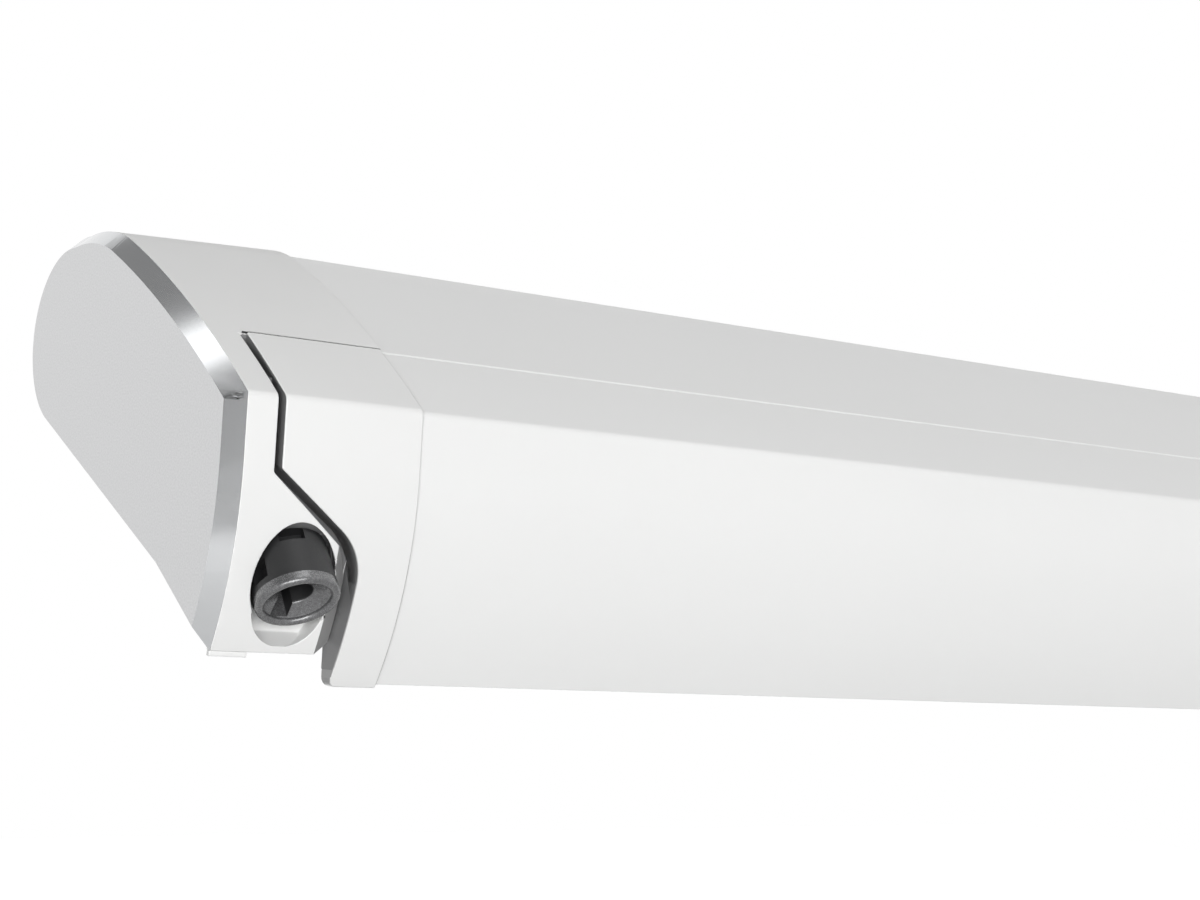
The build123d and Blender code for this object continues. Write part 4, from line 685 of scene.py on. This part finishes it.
# stage, lamps and camera, lengths in metres and power in watts
studio = {
    "floorLevel": -2.44, "floorSize": 40.0, "floorTone": 0.55, "floorLift": 0.95, "floorGloss": 0.45,
    "sky": 0.17,
    "frontLamp": {"at": (-5.2, -8.1, 0.25), "aim": (-1.0, -0.1, 0.0), "size": (8.0, 4.4), "power": 752.0},
    "topLamp": {"at": (-1.2, -1.0, 3.0), "aim": (-1.2, -0.1, 0.0), "size": (1.2, 0.5), "power": 7.0},
    "sideLamp": {"at": (1.2, -1.7, 2.2), "aim": (-1.2, -0.1, 0.0), "size": (0.9, 0.6), "power": 3.0},
    "leftLamp": {"at": (-4.6, -0.6, 0.4), "aim": (-1.3, -0.1, 0.0), "size": (2.0, 2.0), "power": 5.0},
    "backLamp": {"at": (0.5, 3.2, -1.2), "aim": (0.0, 0.0, -0.1), "size": (2.5, 1.5), "power": 26.0},
    "floorRough": 0.9,
    "cameraAt": (-1.5937, -0.7449, -0.0530),
    "cameraRight": (0.8134, -0.5793, 0.0522),
    "cameraDown": (0.0876, 0.0333, -0.9956),
    "lens": 66.0, "sensor": 36.0, "clipEnd": 60,
}
# what polished metal sees around it: three grey screens and a strip of light in the high one
studioScreens = {
    "highScreen": {"toward": (-0.4, 0.36, 0.84), "inner": 0.94, "outer": 0.78, "tone": 0.3},
    "frontScreen": {"toward": (-0.82, -0.56, 0.1), "inner": 0.93, "outer": 0.55, "tone": 0.52},
    "cornerScreen": {"toward": (-0.78, -0.25, 0.5), "inner": 0.95, "outer": 0.8, "tone": 0.4},
    "strip": {"across": (-0.766, -0.643, 0.0), "offset": 0.006, "inner": 0.03, "outer": 0.062, "tone": 1.7,
              "shareFrom": 0.86, "shareTo": 0.96},
}


def aimedLamp(name, lamp):
    light = bpy.data.lights.new(name, "AREA")
    light.shape = "RECTANGLE"
    light.size, light.size_y = lamp["size"]
    light.energy = lamp["power"]
    holder = bpy.data.objects.new(name, light)
    holder.location = lamp["at"]
    toward = Vector(lamp["aim"]) - Vector(lamp["at"])
    holder.rotation_euler = toward.to_track_quat("-Z", "Y").to_euler()
    scene.collection.objects.link(holder)
    return holder


for lampName in ("frontLamp", "topLamp", "sideLamp", "leftLamp", "backLamp"):
    aimedLamp(lampName, studio[lampName])


def lookAlong(tree, source, direction, where):
    # how nearly a direction in the world points this way
    along = addNode(tree, "ShaderNodeVectorMath", where, operation="DOT_PRODUCT")
    along.inputs[1].default_value = direction
    tree.links.new(source, along.inputs[0])
    return along.outputs["Value"]


world = bpy.data.worlds.new("studioSky")
scene.world = world
world.use_nodes = True
skyTree = world.node_tree
backdrop = skyTree.nodes["Background"]
ways = addNode(skyTree, "ShaderNodeTexCoord", (-1900, -400)).outputs["Generated"]
screenTone = 1.0
for row, screenName in enumerate(("highScreen", "frontScreen", "cornerScreen")):
    screen = studioScreens[screenName]
    facing = lookAlong(skyTree, ways, Vector(screen["toward"]).normalized(), (-1700, -300 - 200 * row))
    tone = smoothRange(skyTree, facing, screen["outer"], screen["inner"], 1.0, screen["tone"],
                       (-1500, -300 - 200 * row))
    screenTone = mathNode(skyTree, "MULTIPLY", tone, screenTone, (-1300, -300 - 200 * row))
strip = studioScreens["strip"]
across = lookAlong(skyTree, ways, strip["across"], (-1700, -800))
shifted = mathNode(skyTree, "ADD", across, strip["offset"], (-1500, -800))
away = mathNode(skyTree, "ABSOLUTE", shifted, None, (-1350, -800))
stripGlow = smoothRange(skyTree, away, strip["inner"], strip["outer"], strip["tone"], 0.0, (-1200, -800))
highFacing = lookAlong(skyTree, ways, Vector(studioScreens["highScreen"]["toward"]).normalized(), (-1700, -1000))
stripShare = smoothRange(skyTree, highFacing, strip["shareFrom"], strip["shareTo"], 0.0, 1.0, (-1500, -1000))
stripLight = mathNode(skyTree, "MULTIPLY", stripGlow, stripShare, (-1000, -900))
glossySky = mathNode(skyTree, "ADD", screenTone, stripLight, (-800, -500))
skyPath = addNode(skyTree, "ShaderNodeLightPath", (-1300, 200))
seen = mathNode(skyTree, "MAXIMUM", skyPath.outputs["Is Camera Ray"],
                skyPath.outputs["Is Transmission Ray"], (-1000, 200))
plainSky = smoothRange(skyTree, seen, 0.0, 1.0, studio["sky"], 1.0, (-800, 200))
skyMix = addNode(skyTree, "ShaderNodeMix", (-500, 0), data_type="FLOAT")
skyTree.links.new(skyPath.outputs["Is Glossy Ray"], skyMix.inputs[0])
skyTree.links.new(plainSky, skyMix.inputs[2])
skyTree.links.new(glossySky, skyMix.inputs[3])
skyTree.links.new(skyMix.outputs[0], backdrop.inputs["Strength"])
backdrop.inputs["Color"].default_value = (1, 1, 1, 1)

floorMesh = bpy.data.meshes.new("floor")
half = studio["floorSize"] / 2
level = studio["floorLevel"]
floorMesh.from_pydata([(-half, -half, level), (half, -half, level), (half, half, level), (-half, half, level)],
                      [], [(0, 1, 2, 3)])
floor = bpy.data.objects.new("floor", floorMesh)
scene.collection.objects.link(floor)
floorMaterial = bpy.data.materials.new("paleFloor")
floorMaterial.use_nodes = True
floorTree = floorMaterial.node_tree
floorShader = floorTree.nodes["Principled BSDF"]
tone = studio["floorTone"]
floorShader.inputs["Base Color"].default_value = (tone, tone, tone, 1)
floorShader.inputs["Roughness"].default_value = studio["floorRough"]
floorShader.inputs["Emission Color"].default_value = (1, 1, 1, 1)
floorPath = addNode(floorTree, "ShaderNodeLightPath", (-900, -200))
straight = mathNode(floorTree, "MAXIMUM", floorPath.outputs["Is Camera Ray"],
                    floorPath.outputs["Is Transmission Ray"], (-700, -200))
straightLift = mathNode(floorTree, "MULTIPLY", straight, studio["floorLift"], (-500, -200))
glossLift = mathNode(floorTree, "MULTIPLY", floorPath.outputs["Is Glossy Ray"], studio["floorGloss"], (-500, -400))
lift = mathNode(floorTree, "ADD", straightLift, glossLift, (-200, -200))
floorTree.links.new(lift, floorShader.inputs["Emission Strength"])
floorMesh.materials.append(floorMaterial)

camera = bpy.data.cameras.new("camera")
camera.lens = studio["lens"]
camera.sensor_width = studio["sensor"]
camera.clip_end = studio["clipEnd"]
right = Vector(studio["cameraRight"]).normalized()
up = -Vector(studio["cameraDown"])
up = (up - right * up.dot(right)).normalized()
back = right.cross(up)
holder = bpy.data.objects.new("camera", camera)
holder.matrix_world = Matrix.Translation(studio["cameraAt"]) @ Matrix((right, up, back)).transposed().to_4x4()
scene.collection.objects.link(holder)
scene.camera = holder
scene.view_settings.view_transform = "Standard"
print("stage, lamps and camera ready")
